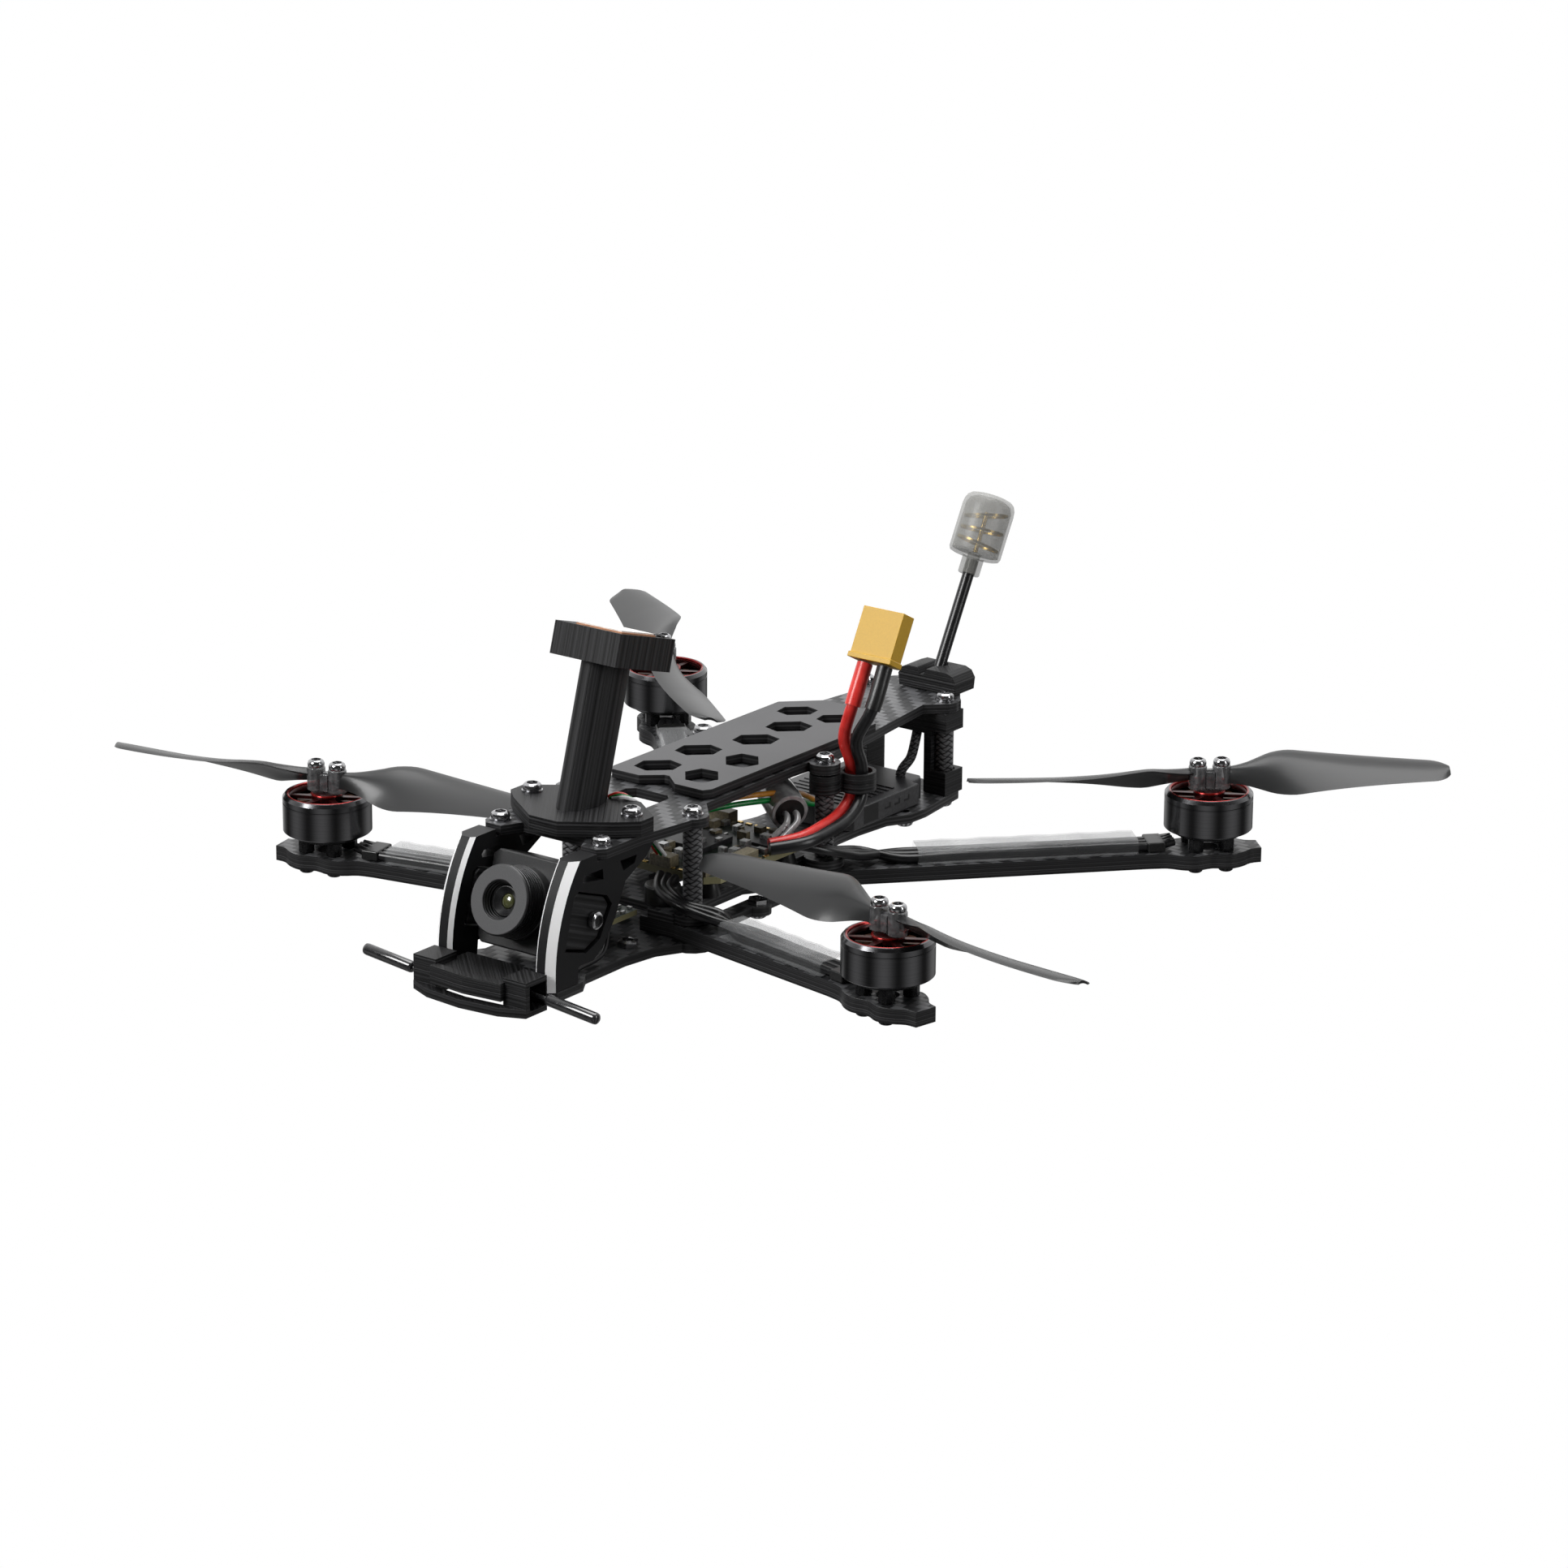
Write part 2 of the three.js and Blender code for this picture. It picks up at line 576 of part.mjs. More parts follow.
// Front bumper: two socket blocks, a bar and a bowed rail below it, and a shelf on the plate.
function makeFrontBumper() {
  const low = -1;
  const bow = (front, depth, halfWidth) => {
    const outline = [
      [-halfWidth, front + 3.2], [-9, front + 0.9], [0, front], [9, front + 0.9], [halfWidth, front + 3.2],
    ];
    const inner = outline.map(([x, y]) => [x, y + depth]).reverse();
    return [...outline, ...inner];
  };
  const socket = (x0, x1) => block(x0, x1, -96.1, -91.1, 0.1, 5.2);
  const body = join(
    block(8.5, 14.3, -97.3, -90.8, low, 6.3),
    block(-14.3, -8.5, -97.3, -90.8, low, 6.3),
    plate(bow(-100.6, 2.2, 14.3), low, 0.8),
    plate([[-9, -98.6], [0, -99.5], [9, -98.6], [9, -96.6], [0, -97.5], [-9, -96.6]], 1.7, 5.4),
    plate([[-9.5, -97], [9.5, -97], [9.5, -86.4], [-9.5, -86.4]], 2.3, 4.7),
    plate([[-14.3, -97.3], [-12.6, -97.3], [-12.6, -95.4], [-14.3, -95.4]], low, 2),
  );
  return cut(body, socket(9.9, 16), socket(-16, -9.9));
}

addPart('front_bumper', makeFrontBumper(), 'printed');

// Receiver dipole: each arm is a rod with a thin neck, canted a little in its socket.
function addDipoleArm(name, x, z, cant) {
  const length = 12.8;
  const rod = turned([
    [0, -5], [0.5, -5], [0.5, 0], [0.9, 0.1], [1.2, 0.5],
    [1.2, length - 0.8], [0.85, length - 0.2], [0, length],
  ], 16).rotateY(Math.PI / 2);
  const arm = addPart(name, rod, 'black');
  arm.position.set(x, -93.6, z);
  arm.rotation.y = cant * degrees;
}

addDipoleArm('dipole_arm_right', 16.6, 2.5, 5.9);
addDipoleArm('dipole_arm_left', -17.4, 1.6, 180 + 5.9);

// Positioning module mount: foot plate, leaning oval post and tray, printed as one piece.
const gpsFoot = { y: -62.1, bottom: deckHeight + clearance, top: 31.2 };

function makeGpsMount() {
  const { y, bottom, top } = gpsFoot;
  const foot = [
    [0, -74.3], [3.5, -74.2], [13, -67.5], [16.6, -64],
    [16.6, -60], [14.5, -58.4], [9, -54.4], [0, -54.4],
  ];
  const oval = new THREE.Shape();
  oval.absellipse(0, 0, 4, 6.2, 0, 2 * Math.PI);
  const post = new THREE.ExtrudeGeometry(oval, { depth: 34, bevelEnabled: false, curveSegments: 12 })
    .translate(0, 0, -4).rotateX(-gpsLean * degrees).translate(0, y, top);
  const below = block(-30, 30, -120, 20, -20, bottom + 0.5);
  const tray = block(-8.3, 8.3, -7.9, 10.2, 0, 6.7);
  const pocket = block(-4.6, 7.9, -6.8, 5, 5.2, 8);
  const placeTray = (geometry) => geometry.rotateX(-gpsLean * degrees).translate(0, y + 8.1, top + 27.2);
  const mount = join(plate(bothSides(foot), bottom, top), cut(post, below), placeTray(tray));
  return cut(
    mount,
    placeTray(pocket),
    ...pair(gpsScrew.x, gpsScrew.y, (px, py) => disc(px, py, screwHoleRadius, 20, 35, holeSides)),
  );
}

addPart('gps_mount', makeGpsMount(), 'printed');

const gpsPatch = block(-4.2, 7.5, -6.4, 4.6, 5.5, 7.5).rotateX(-gpsLean * degrees);
addPart('gps_module', gpsPatch.translate(0, gpsFoot.y + 8.1, gpsFoot.top + 27.2), 'ceramic');

// Flight controller: one board with its larger parts.
const boardTop = 12.7;

function makeFlightController() {
  const board = [
    [-16.5, -38], [-14, -40.5], [14, -40.5], [16.5, -38],
    [16.5, -10], [14, -7.5], [-14, -7.5], [-16.5, -10],
  ];
  return join(
    plate(board, boardTop - 1.6, boardTop),
    block(-5, 5, -29, -19, boardTop - 0.2, boardTop + 1.2),
    block(8, 14, -37, -30, boardTop - 0.2, boardTop + 2.6),
    block(-14, -8, -37, -30, boardTop - 0.2, boardTop + 2.6),
    block(9.5, 13.5, -24, -18, boardTop - 0.2, boardTop + 1.6),
  );
}

addPart('flight_controller', makeFlightController(), 'board');

function makeVideoTransmitter() {
  const bottom = midTop + 0.2;
  const top = bottom + 4.6;
  const body = [[-11.8, 14], [-9.6, 12], [9.6, 12], [11.8, 14], [11.8, 37.2], [-11.8, 37.2]];
  const tail = [[-10, 37], [10, 37], [10, 40.4], [8.6, 42], [-8.6, 42], [-10, 40.4]];
  return join(plate(body, bottom, top), plate(tail, bottom, top));
}

addPart('video_transmitter', makeVideoTransmitter(), 'blackMetal');
addPart('receiver_board', block(-6.5, 6.5, -60.5, -52.5, 6.4, 7.6), 'board');

// Rear bracket: a cross beam under the top plate with a leg round each rear standoff.
function makeRearBracket() {
  const front = 44.9;
  const back = 51.3;
  const inner = 7.4;
  const outer = 13.1;
  const low = midTop + seat;
  const high = deckBottom - seat;
  const leg = block(inner, outer, front, back, low, high);
  const window = block(9.3, outer + 1, front - 1, back + 1, 12.6, 21.4);
  return cut(
    join(leg, mirrorX(leg), block(-8, 8, front, back, 20.6, high)),
    window,
    mirrorX(window),
    ...pair(rearPost.x, rearPost.y, (x, y) => disc(x, y, postRadius + clearance, 0, 30)),
  );
}

addPart('rear_bracket', makeRearBracket(), 'printed');

// Antenna: clamp block with two lobes, a leaning stem and a hollow cap.
function placeOnAntenna(geometry) {
  return geometry.rotateX(-antennaLean * degrees).translate(antennaRoot.x, antennaRoot.y, antennaRoot.z);
}

function makeAntennaClamp() {
  const low = deckHeight + clearance;
  const front = 50.9;
  const back = 58.2;
  const lobes = [
    [-7.2, low], [7.2, low], [7.5, 30.6], [6.6, 32.1], [5, 32.7], [0, 32.7], [-1, 31.3], [-1.8, 31.3],
    [-2.6, 32.7], [-5, 32.7], [-6.6, 32.1], [-7.5, 30.6],
  ];
  const clamp = plate(lobes, -back, -front).rotateX(Math.PI / 2).translate(antennaRoot.x, 0, 0);
  return cut(clamp, placeOnAntenna(disc(0, 0, 1.65, -3.4, 12)));
}

addPart('antenna_clamp', makeAntennaClamp(), 'printed');
addPart('antenna_stem', placeOnAntenna(disc(0, 0, 1.3, -3, 25, 16)), 'black');

function makeAntennaCap() {
  const foot = 21.6;
  const base = 25.7;
  const top = 39.2;
  return placeOnAntenna(turned([
    [1.65, foot], [2.35, foot], [2.35, base], [5, base], [5.8, base + 0.8], [5.8, top - 2.4],
    [5.1, top - 0.7], [3.4, top], [0, top], [0, top - 0.8], [3.2, top - 0.8], [4.5, top - 1.5],
    [5, top - 2.8], [5, base + 0.8], [1.65, base + 0.8], [1.65, foot],
  ]));
}

addPart('antenna_cap', makeAntennaCap(), 'clear');

// Smoothing capacitor, lying over the rear edge of the flight controller.
const capacitor = addPart('capacitor', disc(0, 0, 4, -11.5, 0), 'sleeveGrey');
capacitor.position.set(11.4, -8, 17.3);
capacitor.quaternion.setFromUnitVectors(
  new THREE.Vector3(0, 0, 1), new THREE.Vector3(0.79, -0.54, -0.2).normalize(),
);

// Wire clip: a collar on the middle standoff and a ring that holds both battery leads.
function makeWireClip() {
  const low = 21.2;
  const high = 25.3;
  const { x, y } = middlePost;
  const reach = Math.hypot(clipRing.x - x, clipRing.y - y);
  const link = block(0, reach, -1.3, 1.3, low, high)
    .rotateZ(Math.atan2(clipRing.y - y, clipRing.x - x)).translate(x, y, 0);
  return cut(
    join(disc(x, y, 3.2, low, high), disc(clipRing.x, clipRing.y, 3.9, low, high), link),
    disc(x, y, postRadius + 0.25, low - 1, high + 1),
    disc(clipRing.x, clipRing.y, 3.05, low - 1, high + 1),
  );
}

addPart('wire_clip', makeWireClip(), 'printed');

// Battery connector: its own Z runs out of the socket, and the two leads enter below.
const connector = new THREE.Group();
connector.position.set(leadConnector.x, leadConnector.y, leadConnector.z);
connector.rotation.x = -leadConnector.lean * degrees;
drone.add(connector);

function makeConnector() {
  const outline = [[-5.1, -2.6], [5.1, -2.6], [5.1, 1.4], [3.9, 2.6], [-3.9, 2.6], [-5.1, 1.4]];
  const socket = [[-4.2, -1.8], [4.2, -1.8], [4.2, 1.1], [3.5, 1.8], [-3.5, 1.8], [-4.2, 1.1]];
  return join(
    cut(plate(outline, 0, 11), plate(socket, 5.5, 12)),
    plate([[-5.4, -2.9], [5.4, -2.9], [5.4, 1.6], [4, 2.9], [-4, 2.9], [-5.4, 1.6]], 0, 1.1),
    disc(-2.5, 0, 0.95, 5, 10.2, holeSides),
    disc(2.5, 0, 0.95, 5, 10.2, holeSides),
  );
}

addPart('battery_connector', makeConnector(), 'yellow', connector);

// A battery lead from the controller's rear corner, up through the ring, to the connector.
function makeLead(side) {
  const lean = leadConnector.lean * degrees;
  const lane = clipRing.x + side * (leadRadius + 0.06);
  const top = new THREE.Vector3(leadConnector.x + side * 2.5, leadConnector.y, leadConnector.z);
  const down = new THREE.Vector3(0, -Math.sin(lean), -Math.cos(lean));
  const route = [
    new THREE.Vector3(16.4 + side * 0.9, -21.6 - side * 1.1, 14.6),
    new THREE.Vector3(20.4 + side * 1.4, -15.6 - side * 0.6, 15.2),
    new THREE.Vector3(21.2 + side * 1.4, -9, 16),
    new THREE.Vector3(21 + side * 1.4, -2.6, 17),
    new THREE.Vector3(lane + 0.6, 1.8, 19.4),
    new THREE.Vector3(lane, clipRing.y - 0.3, 22.6),
    new THREE.Vector3(lane - 0.2, clipRing.y - 0.4, 27),
    new THREE.Vector3(lane - 1.1 + side * 0.2, clipRing.y - 1.2, 32.2),
    top.clone().addScaledVector(down, 9.4),
    top.clone().addScaledVector(down, clearance),
  ];
  const section = new THREE.Shape();
  section.absarc(0, 0, leadRadius, 0, 2 * Math.PI);
  return new THREE.ExtrudeGeometry(section, {
    steps: 30, curveSegments: 4, bevelEnabled: false, extrudePath: new THREE.CatmullRomCurve3(route),
  });
}

addPart('battery_lead_red', makeLead(-1), 'red');
addPart('battery_lead_black', makeLead(1), 'black');

export default drone;
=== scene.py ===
import math
import random

import bmesh
import bpy
from mathutils import Matrix, Vector


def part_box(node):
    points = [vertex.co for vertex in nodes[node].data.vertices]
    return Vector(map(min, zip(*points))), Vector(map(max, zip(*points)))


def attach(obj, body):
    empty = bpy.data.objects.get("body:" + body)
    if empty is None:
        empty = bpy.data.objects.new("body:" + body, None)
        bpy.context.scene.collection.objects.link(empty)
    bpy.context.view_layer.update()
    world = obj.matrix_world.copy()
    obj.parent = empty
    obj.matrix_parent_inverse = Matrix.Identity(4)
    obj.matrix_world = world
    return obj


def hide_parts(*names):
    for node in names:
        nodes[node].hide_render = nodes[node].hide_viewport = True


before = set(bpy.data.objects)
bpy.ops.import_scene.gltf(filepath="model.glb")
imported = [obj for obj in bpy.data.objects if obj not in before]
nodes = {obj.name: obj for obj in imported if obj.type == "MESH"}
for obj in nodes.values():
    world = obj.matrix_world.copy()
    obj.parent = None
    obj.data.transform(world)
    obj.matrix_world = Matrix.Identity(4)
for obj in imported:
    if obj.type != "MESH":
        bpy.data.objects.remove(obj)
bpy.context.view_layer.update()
print("frame loaded,", len(nodes), "parts")

mm = 0.001
turn = 2 * math.pi
corners = {  # where each motor is, and which way its blades face and turn
    "front_left": {"x": -1, "y": -1, "spin": 1, "blade": 11.6},
    "front_right": {"x": 1, "y": -1, "spin": -1, "blade": -9},
    "rear_left": {"x": -1, "y": 1, "spin": -1, "blade": -41.7},
    "rear_right": {"x": 1, "y": 1, "spin": 1, "blade": 42.9},
}


def corner(node, which):  # lowest (0) or highest (1) corner of a part, in millimetres
    return Vector(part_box(node)[which]) / mm


def middle(node):
    return (corner(node, 0) + corner(node, 1)) / 2


# Camera and studio

studio = {
    "place": (676.51, -901.74, 384.97),  # millimetres
    "target": (-26.08, 40.13, 3.76),
    "roll": 0.355,
    "lens": 131.1,
    "sensor": 36,
    "lamps": {  # place in metres, watts, width and height
        "overhead": ((-0.1, 0.25, 1.3), 15.0, 1.0, 1.0),
        "keyLamp": ((-0.45, -1.1, 0.85), 19.0, 0.6, 0.6),
        "rimLamp": ((1.25, 0.1, 0.5), 5.0, 0.25, 0.9),
    },
    "backSky": 1.15,  # strength of the sky beyond the object, and on the camera's side
    "frontSky": 0.05,
    "floor": -2.0,  # metres, low enough to leave views from underneath clear
    "reach": 8.0,
    "sides": 32,
}


def setCamera():
    data = bpy.data.cameras.new("studioCamera")
    data.lens = studio["lens"]
    data.sensor_width = studio["sensor"]
    data.clip_end = 50  # metres
    camera = bpy.data.objects.new("studioCamera", data)
    bpy.context.scene.collection.objects.link(camera)
    place = Vector(studio["place"]) * mm
    aim = (Vector(studio["target"]) * mm - place).to_track_quat("-Z", "Y").to_matrix().to_4x4()
    roll = Matrix.Rotation(math.radians(studio["roll"]), 4, "Z")
    camera.matrix_world = Matrix.Translation(place) @ aim @ roll
    bpy.context.scene.camera = camera


def addSoftbox(name, place, power, width, height):
    data = bpy.data.lights.new(name, "AREA")
    data.shape = "RECTANGLE"
    data.size, data.size_y, data.energy = width, height, power
    lamp = bpy.data.objects.new(name, data)
    bpy.context.scene.collection.objects.link(lamp)
    place = Vector(place)
    aim = (-place).to_track_quat("-Z", "Y").to_matrix().to_4x4()
    lamp.matrix_world = Matrix.Translation(place) @ aim


setCamera()


# Shader maths: a Signal is one socket, and sums on it add Math nodes to its network

class Signal:
    def __init__(self, network, socket):
        self.network, self.socket = network, socket

    def maths(self, operation, other=0.5, flip=False):
        first, second = (other, self) if flip else (self, other)
        return self.network.node("Math", {"operation": operation}, {0: first, 1: second})

    def __add__(self, other):
        return self.maths("ADD", other)

    def __sub__(self, other):
        return self.maths("SUBTRACT", other)

    def __rsub__(self, other):
        return self.maths("SUBTRACT", other, flip=True)

    def __mul__(self, other):
        return self.maths("MULTIPLY", other)

    def __truediv__(self, other):
        return self.maths("DIVIDE", other)

    def __abs__(self):
        return self.maths("ABSOLUTE")

    __radd__ = __add__
    __rmul__ = __mul__

    def wave(self, length):  # 0 to 1 and back over that length
        return (self * (turn / length)).maths("SINE") * 0.5 + 0.5

    def step(self, low, high):  # smooth rise from 0 at low to 1 at high
        return self.network.node(
            "MapRange", {"interpolation_type": "SMOOTHSTEP"},
            {"Value": self, "From Min": low, "From Max": high, "To Min": 0.0, "To Max": 1.0},
        )


class Network:
    def __init__(self, tree):
        self.tree = tree

    def put(self, socket, value):
        if isinstance(value, Signal):
            self.tree.links.new(value.socket, socket)
        elif isinstance(value, (tuple, list)) and socket.type == "RGBA":
            socket.default_value = (*value[:3], 1.0)
        else:
            socket.default_value = value

    def node(self, kind, settings=None, inputs=None, output=0):
        made = self.tree.nodes.new("ShaderNode" + kind)
        for label, value in (settings or {}).items():
            setattr(made, label, value)
        for label, value in (inputs or {}).items():
            self.put(made.inputs[label], value)
        return Signal(self, made.outputs[output])

    def axes(self, vector):
        parts = self.node("SeparateXYZ", inputs={0: vector})
        return [Signal(self, output) for output in parts.socket.node.outputs]

    def dot(self, vector, axis):
        return self.node("VectorMath", {"operation": "DOT_PRODUCT"}, {0: vector, 1: axis}, "Value")


class Finish(Network):
    def __init__(self, name, **shader):
        self.material = bpy.data.materials.new(name)
        self.material.use_nodes = True
        super().__init__(self.material.node_tree)
        self.shader = self.tree.nodes["Principled BSDF"]
        self.place = None
        self.drive(**shader)

    def drive(self, **inputs):
        for label, value in inputs.items():
            self.put(self.shader.inputs[label.replace("_", " ")], value)

    def spot(self):  # place on the object, in millimetres
        if self.place is None:
            here = self.node("TexCoord", output="Object")
            self.place = self.node("VectorMath", {"operation": "SCALE"}, {0: here, "Scale": 1 / mm})
        return self.place

    def normal(self):
        return self.node("TexCoord", output="Normal")

    def facing(self):
        return self.axes(self.normal())

    def noise(self, size, detail=3.0):
        inputs = {"Vector": self.spot(), "Scale": 1 / size, "Detail": detail}
        return self.node("TexNoise", inputs=inputs, output="Fac")

    def lines(self, direction, fine):  # straight streaks that lie across a direction, fading in and out
        place = self.dot(self.spot(), direction) / fine
        inputs = {"W": place, "Scale": 1.0, "Detail": 1.0}
        streak = self.node("TexNoise", {"noise_dimensions": "1D"}, inputs, "Fac")
        return (streak - 0.5) * (0.5 + self.noise(9.0, 1.0)) + 0.5

    def blend(self, factor, first, second):
        return self.node("Mix", {"data_type": "RGBA"}, {0: factor, 6: first, 7: second}, output=2)

    def relief(self, height, depth, strength):  # depth in millimetres
        inputs = {"Height": height, "Distance": depth * mm, "Strength": strength}
        self.put(self.shader.inputs["Normal"], self.node("Bump", inputs=inputs))


carbonLook = {
    "tow": 1.7, "dark": (0.008, 0.0083, 0.009), "light": (0.085, 0.086, 0.09),
    "edgeDark": (0.004, 0.004, 0.0045), "edgeLight": (0.042, 0.042, 0.044), "ply": 0.42,
}


def carbonFinish():
    finish = Finish("wovenCarbon", Specular_IOR_Level=0.4)
    u, v = [place / carbonLook["tow"] for place in finish.axes(finish.spot())[:2]]
    cellU = u.maths("FLOOR")
    cellV = v.maths("FLOOR")
    over = (cellU + cellV).maths("FLOORED_MODULO", 4.0).maths("LESS_THAN", 1.5)
    ridgeU = abs((u * math.pi).maths("SINE"))
    ridgeV = abs((v * math.pi).maths("SINE"))
    ridge = over * ridgeV + (1 - over) * ridgeU
    cell = finish.node("CombineXYZ", inputs={0: cellU, 1: cellV})
    chance = finish.node("TexWhiteNoise", {"noise_dimensions": "2D"}, {"Vector": cell}, "Value")
    threads = finish.lines((1, 0, 0), 0.3) * (1 - over) + finish.lines((0, 1, 0), 0.3) * over
    # painted sheen: the over tows are lighter than the under tows, and each tow is lighter along its crown
    # with painted shade between neighbouring tows; the rest is random tone and thread streaks
    tone = over * 0.55 + chance * 0.3 + ridge * 0.2 + (threads - 0.5) * 0.4
    weaveWithSheen = finish.blend(tone.step(0.12, 1.0), carbonLook["dark"], carbonLook["light"])
    plies = finish.lines((0, 0, 1), carbonLook["ply"])
    edge = finish.blend(plies.step(0.42, 0.72), carbonLook["edgeDark"], carbonLook["edgeLight"])
    flat = abs(finish.facing()[2]).step(0.6, 0.85)
    finish.drive(
        Base_Color=finish.blend(flat, edge, weaveWithSheen),
        Roughness=0.42 - flat * over * 0.12 + finish.noise(3.0) * 0.1,
    )
    finish.relief(flat * ridge * 0.6 + (1 - flat) * plies, 0.07, 0.8)
    return finish.material


printLook = {
    "layer": 0.42, "dark": (0.0025, 0.0025, 0.0027), "light": (0.023, 0.023, 0.0245),
    "flat": 0.93,  # how level a face is before it shows lanes
    "postAcross": (0.8, 0.575, -0.17), "footTop": 31.0,
}


def layPlastic(finish, height, depth, strength):
    finish.drive(
        Base_Color=finish.blend(height.step(0.35, 0.7), printLook["dark"], printLook["light"]),
        Roughness=0.36 + height * 0.3,
    )
    finish.relief(height, depth, strength)
    return finish.material


def printedFinish(name, stack, cross, line=printLook["layer"]):
    # layers pile up along stack; a face across that direction shows lanes along cross instead
    finish = Finish(name, Specular_IOR_Level=0.3)
    layers = finish.lines(stack, line)
    lanes = finish.lines(cross, line * 1.2)
    flat = abs(finish.dot(finish.normal(), stack)).step(printLook["flat"], printLook["flat"] + 0.05)
    height = flat * (lanes * 0.5 + 0.2) + (1 - flat) * layers
    return layPlastic(finish, height, 0.16, 0.9)


def postFinish():
    finish = Finish("printedPost", Specular_IOR_Level=0.3)
    lengthwise = finish.lines(printLook["postAcross"], 0.5)  # across the axis of the leaning post
    level = finish.lines((0, 0, 1), printLook["layer"])
    foot = 1 - finish.axes(finish.spot())[2].step(printLook["footTop"], printLook["footTop"] + 0.3)
    return layPlastic(finish, foot * level + (1 - foot) * lengthwise, 0.12, 0.8)


cageLook = {"centre": (-52.5, 4.6), "rim": 36.0}  # the arc of the side plates, and where it goes bare


def cageFinish():
    finish = Finish("anodisedCage", Specular_IOR_Level=0.2)
    y, z = [place - centre for place, centre in zip(finish.axes(finish.spot())[1:], cageLook["centre"])]
    rim = (y * y + z * z).maths("SQRT").step(cageLook["rim"], cageLook["rim"] + 0.6)
    side = abs(finish.facing()[0])
    bare = rim * side.step(0.5, 0.6) * (1 - side.step(0.82, 0.9))
    grain = finish.noise(0.09, 2.0)
    satin = finish.blend(grain.step(0.3, 0.7), (0.006, 0.006, 0.0065), (0.014, 0.014, 0.015))
    finish.drive(
        Base_Color=finish.blend(bare, satin, (1.0, 1.0, 1.0)),
        Metallic=bare * 0.08,
        Roughness=0.4 - bare * 0.15 + grain * 0.08,
    )
    finish.relief(grain, 0.008, 0.5)
    return finish.material


def braidFinish(name, dark, light, pitch=1.25, strands=5):
    finish = Finish(name, Specular_IOR_Level=0.35)
    nx, ny = finish.facing()[:2]
    angle = ny.maths("ARCTAN2", nx) * (strands / turn)
    climb = finish.axes(finish.spot())[2] / pitch
    one = abs(((angle + climb) * math.pi).maths("SINE"))
    two = abs(((angle - climb) * math.pi).maths("SINE"))
    cells = (angle + climb).maths("FLOOR") + (angle - climb).maths("FLOOR")
    over = cells.maths("FLOORED_MODULO", 2.0)
    height = over * one + (1 - over) * two
    # painted shade and highlight: the colour follows the strand height, near black in the gaps between
    # strands and light on their crowns
    finish.drive(
        Base_Color=finish.blend(height.step(0.2, 0.95), dark, light),
        Roughness=0.42 + finish.noise(0.4) * 0.2,
    )
    finish.relief(height, 0.18, 1.0)
    return finish.material


def cloudFinish(name, size, detail, tones, rough, alpha=None, ramp=None, relief=None, **shader):
    # two tones clouded together; roughness and alpha are (base, gain) along the same cloud
    finish = Finish(name, **shader)
    cloud = finish.noise(size, detail)
    tone = cloud.step(*ramp) if ramp else cloud
    finish.drive(Base_Color=finish.blend(tone, *tones), Roughness=rough[0] + cloud * rough[1])
    if alpha:
        finish.drive(Alpha=alpha[0] + cloud * alpha[1])
    if relief:
        finish.relief(cloud, *relief)
    return finish.material


def plainFinish(name, dark, light, rough, grain, depth, **shader):
    ends = (rough - 0.06, 0.12)
    return cloudFinish(name, grain, 3.0, (dark, light), ends, ramp=(0.3, 0.7), relief=(depth, 0.6), **shader)


def sheetFinish():
    finish = Finish("padSheet", Specular_IOR_Level=0.35)
    top = finish.facing()[2].step(0.7, 0.9)
    fine = finish.noise(0.16, 2.0)
    sheen = finish.noise(14.0, 1.0)
    face = finish.blend(fine * 0.5 + sheen * 0.5, (0.05, 0.05, 0.052), (0.075, 0.075, 0.078))
    plies = finish.lines((0, 0, 1), 0.4).step(0.4, 0.7)
    side = finish.blend(plies, (0.004, 0.004, 0.0045), (0.03, 0.03, 0.031))
    finish.drive(Base_Color=finish.blend(top, side, face), Roughness=0.46 + fine * 0.1)
    finish.relief(fine, 0.01, 0.5)
    return finish.material


def boardFinish(name, dark, light):
    finish = Finish(name, Specular_IOR_Level=0.5)
    x, y = finish.axes(finish.spot())[:2]
    track = (x + finish.noise(2.2) * 3).wave(0.9) * (y + finish.noise(1.7) * 3).wave(1.1)
    copper = track.step(0.55, 0.62)
    edge = 1 - abs(finish.facing()[2]).step(0.4, 0.7)
    face = finish.blend(copper, dark, light)
    finish.drive(
        Base_Color=finish.blend(edge, face, (0.28, 0.26, 0.14)),
        Roughness=0.36 + copper * 0.1,
    )
    finish.relief(copper, 0.03, 0.5)
    return finish.material


def bellFinish():
    finish = Finish("darkBell", Metallic=1.0)
    ring = finish.lines((0, 0, 1), 0.22)
    finish.drive(
        Base_Color=finish.blend(ring.step(0.3, 0.7), (0.11, 0.11, 0.114), (0.135, 0.135, 0.14)),
        Roughness=0.16 + ring * 0.06,
    )
    finish.relief(ring, 0.002, 0.3)
    return finish.material


def clearFinish():
    finish = Finish("clearSleeve", Specular_IOR_Level=0.7)
    heading = finish.noise(11.0, 0.0)
    top = finish.facing()[2].step(0.5, 0.9)
    # painted sheen: the upward faces are more opaque than the sides, and more so where the cloud is high
    finish.drive(
        Base_Color=finish.blend(heading, (0.26, 0.265, 0.27), (0.38, 0.385, 0.39)),
        Roughness=0.2 + heading * 0.06,
        Alpha=0.06 + top * 0.24 + heading.step(0.4, 0.7) * top * 0.12,
    )
    finish.relief(heading, 0.004, 0.2)
    return finish.material


def wireFinish(name, dark, light):  # the smooth silicone skin of a wire
    return plainFinish(name, dark, light, 0.3, 2.0, 0.004, Specular_IOR_Level=0.45)


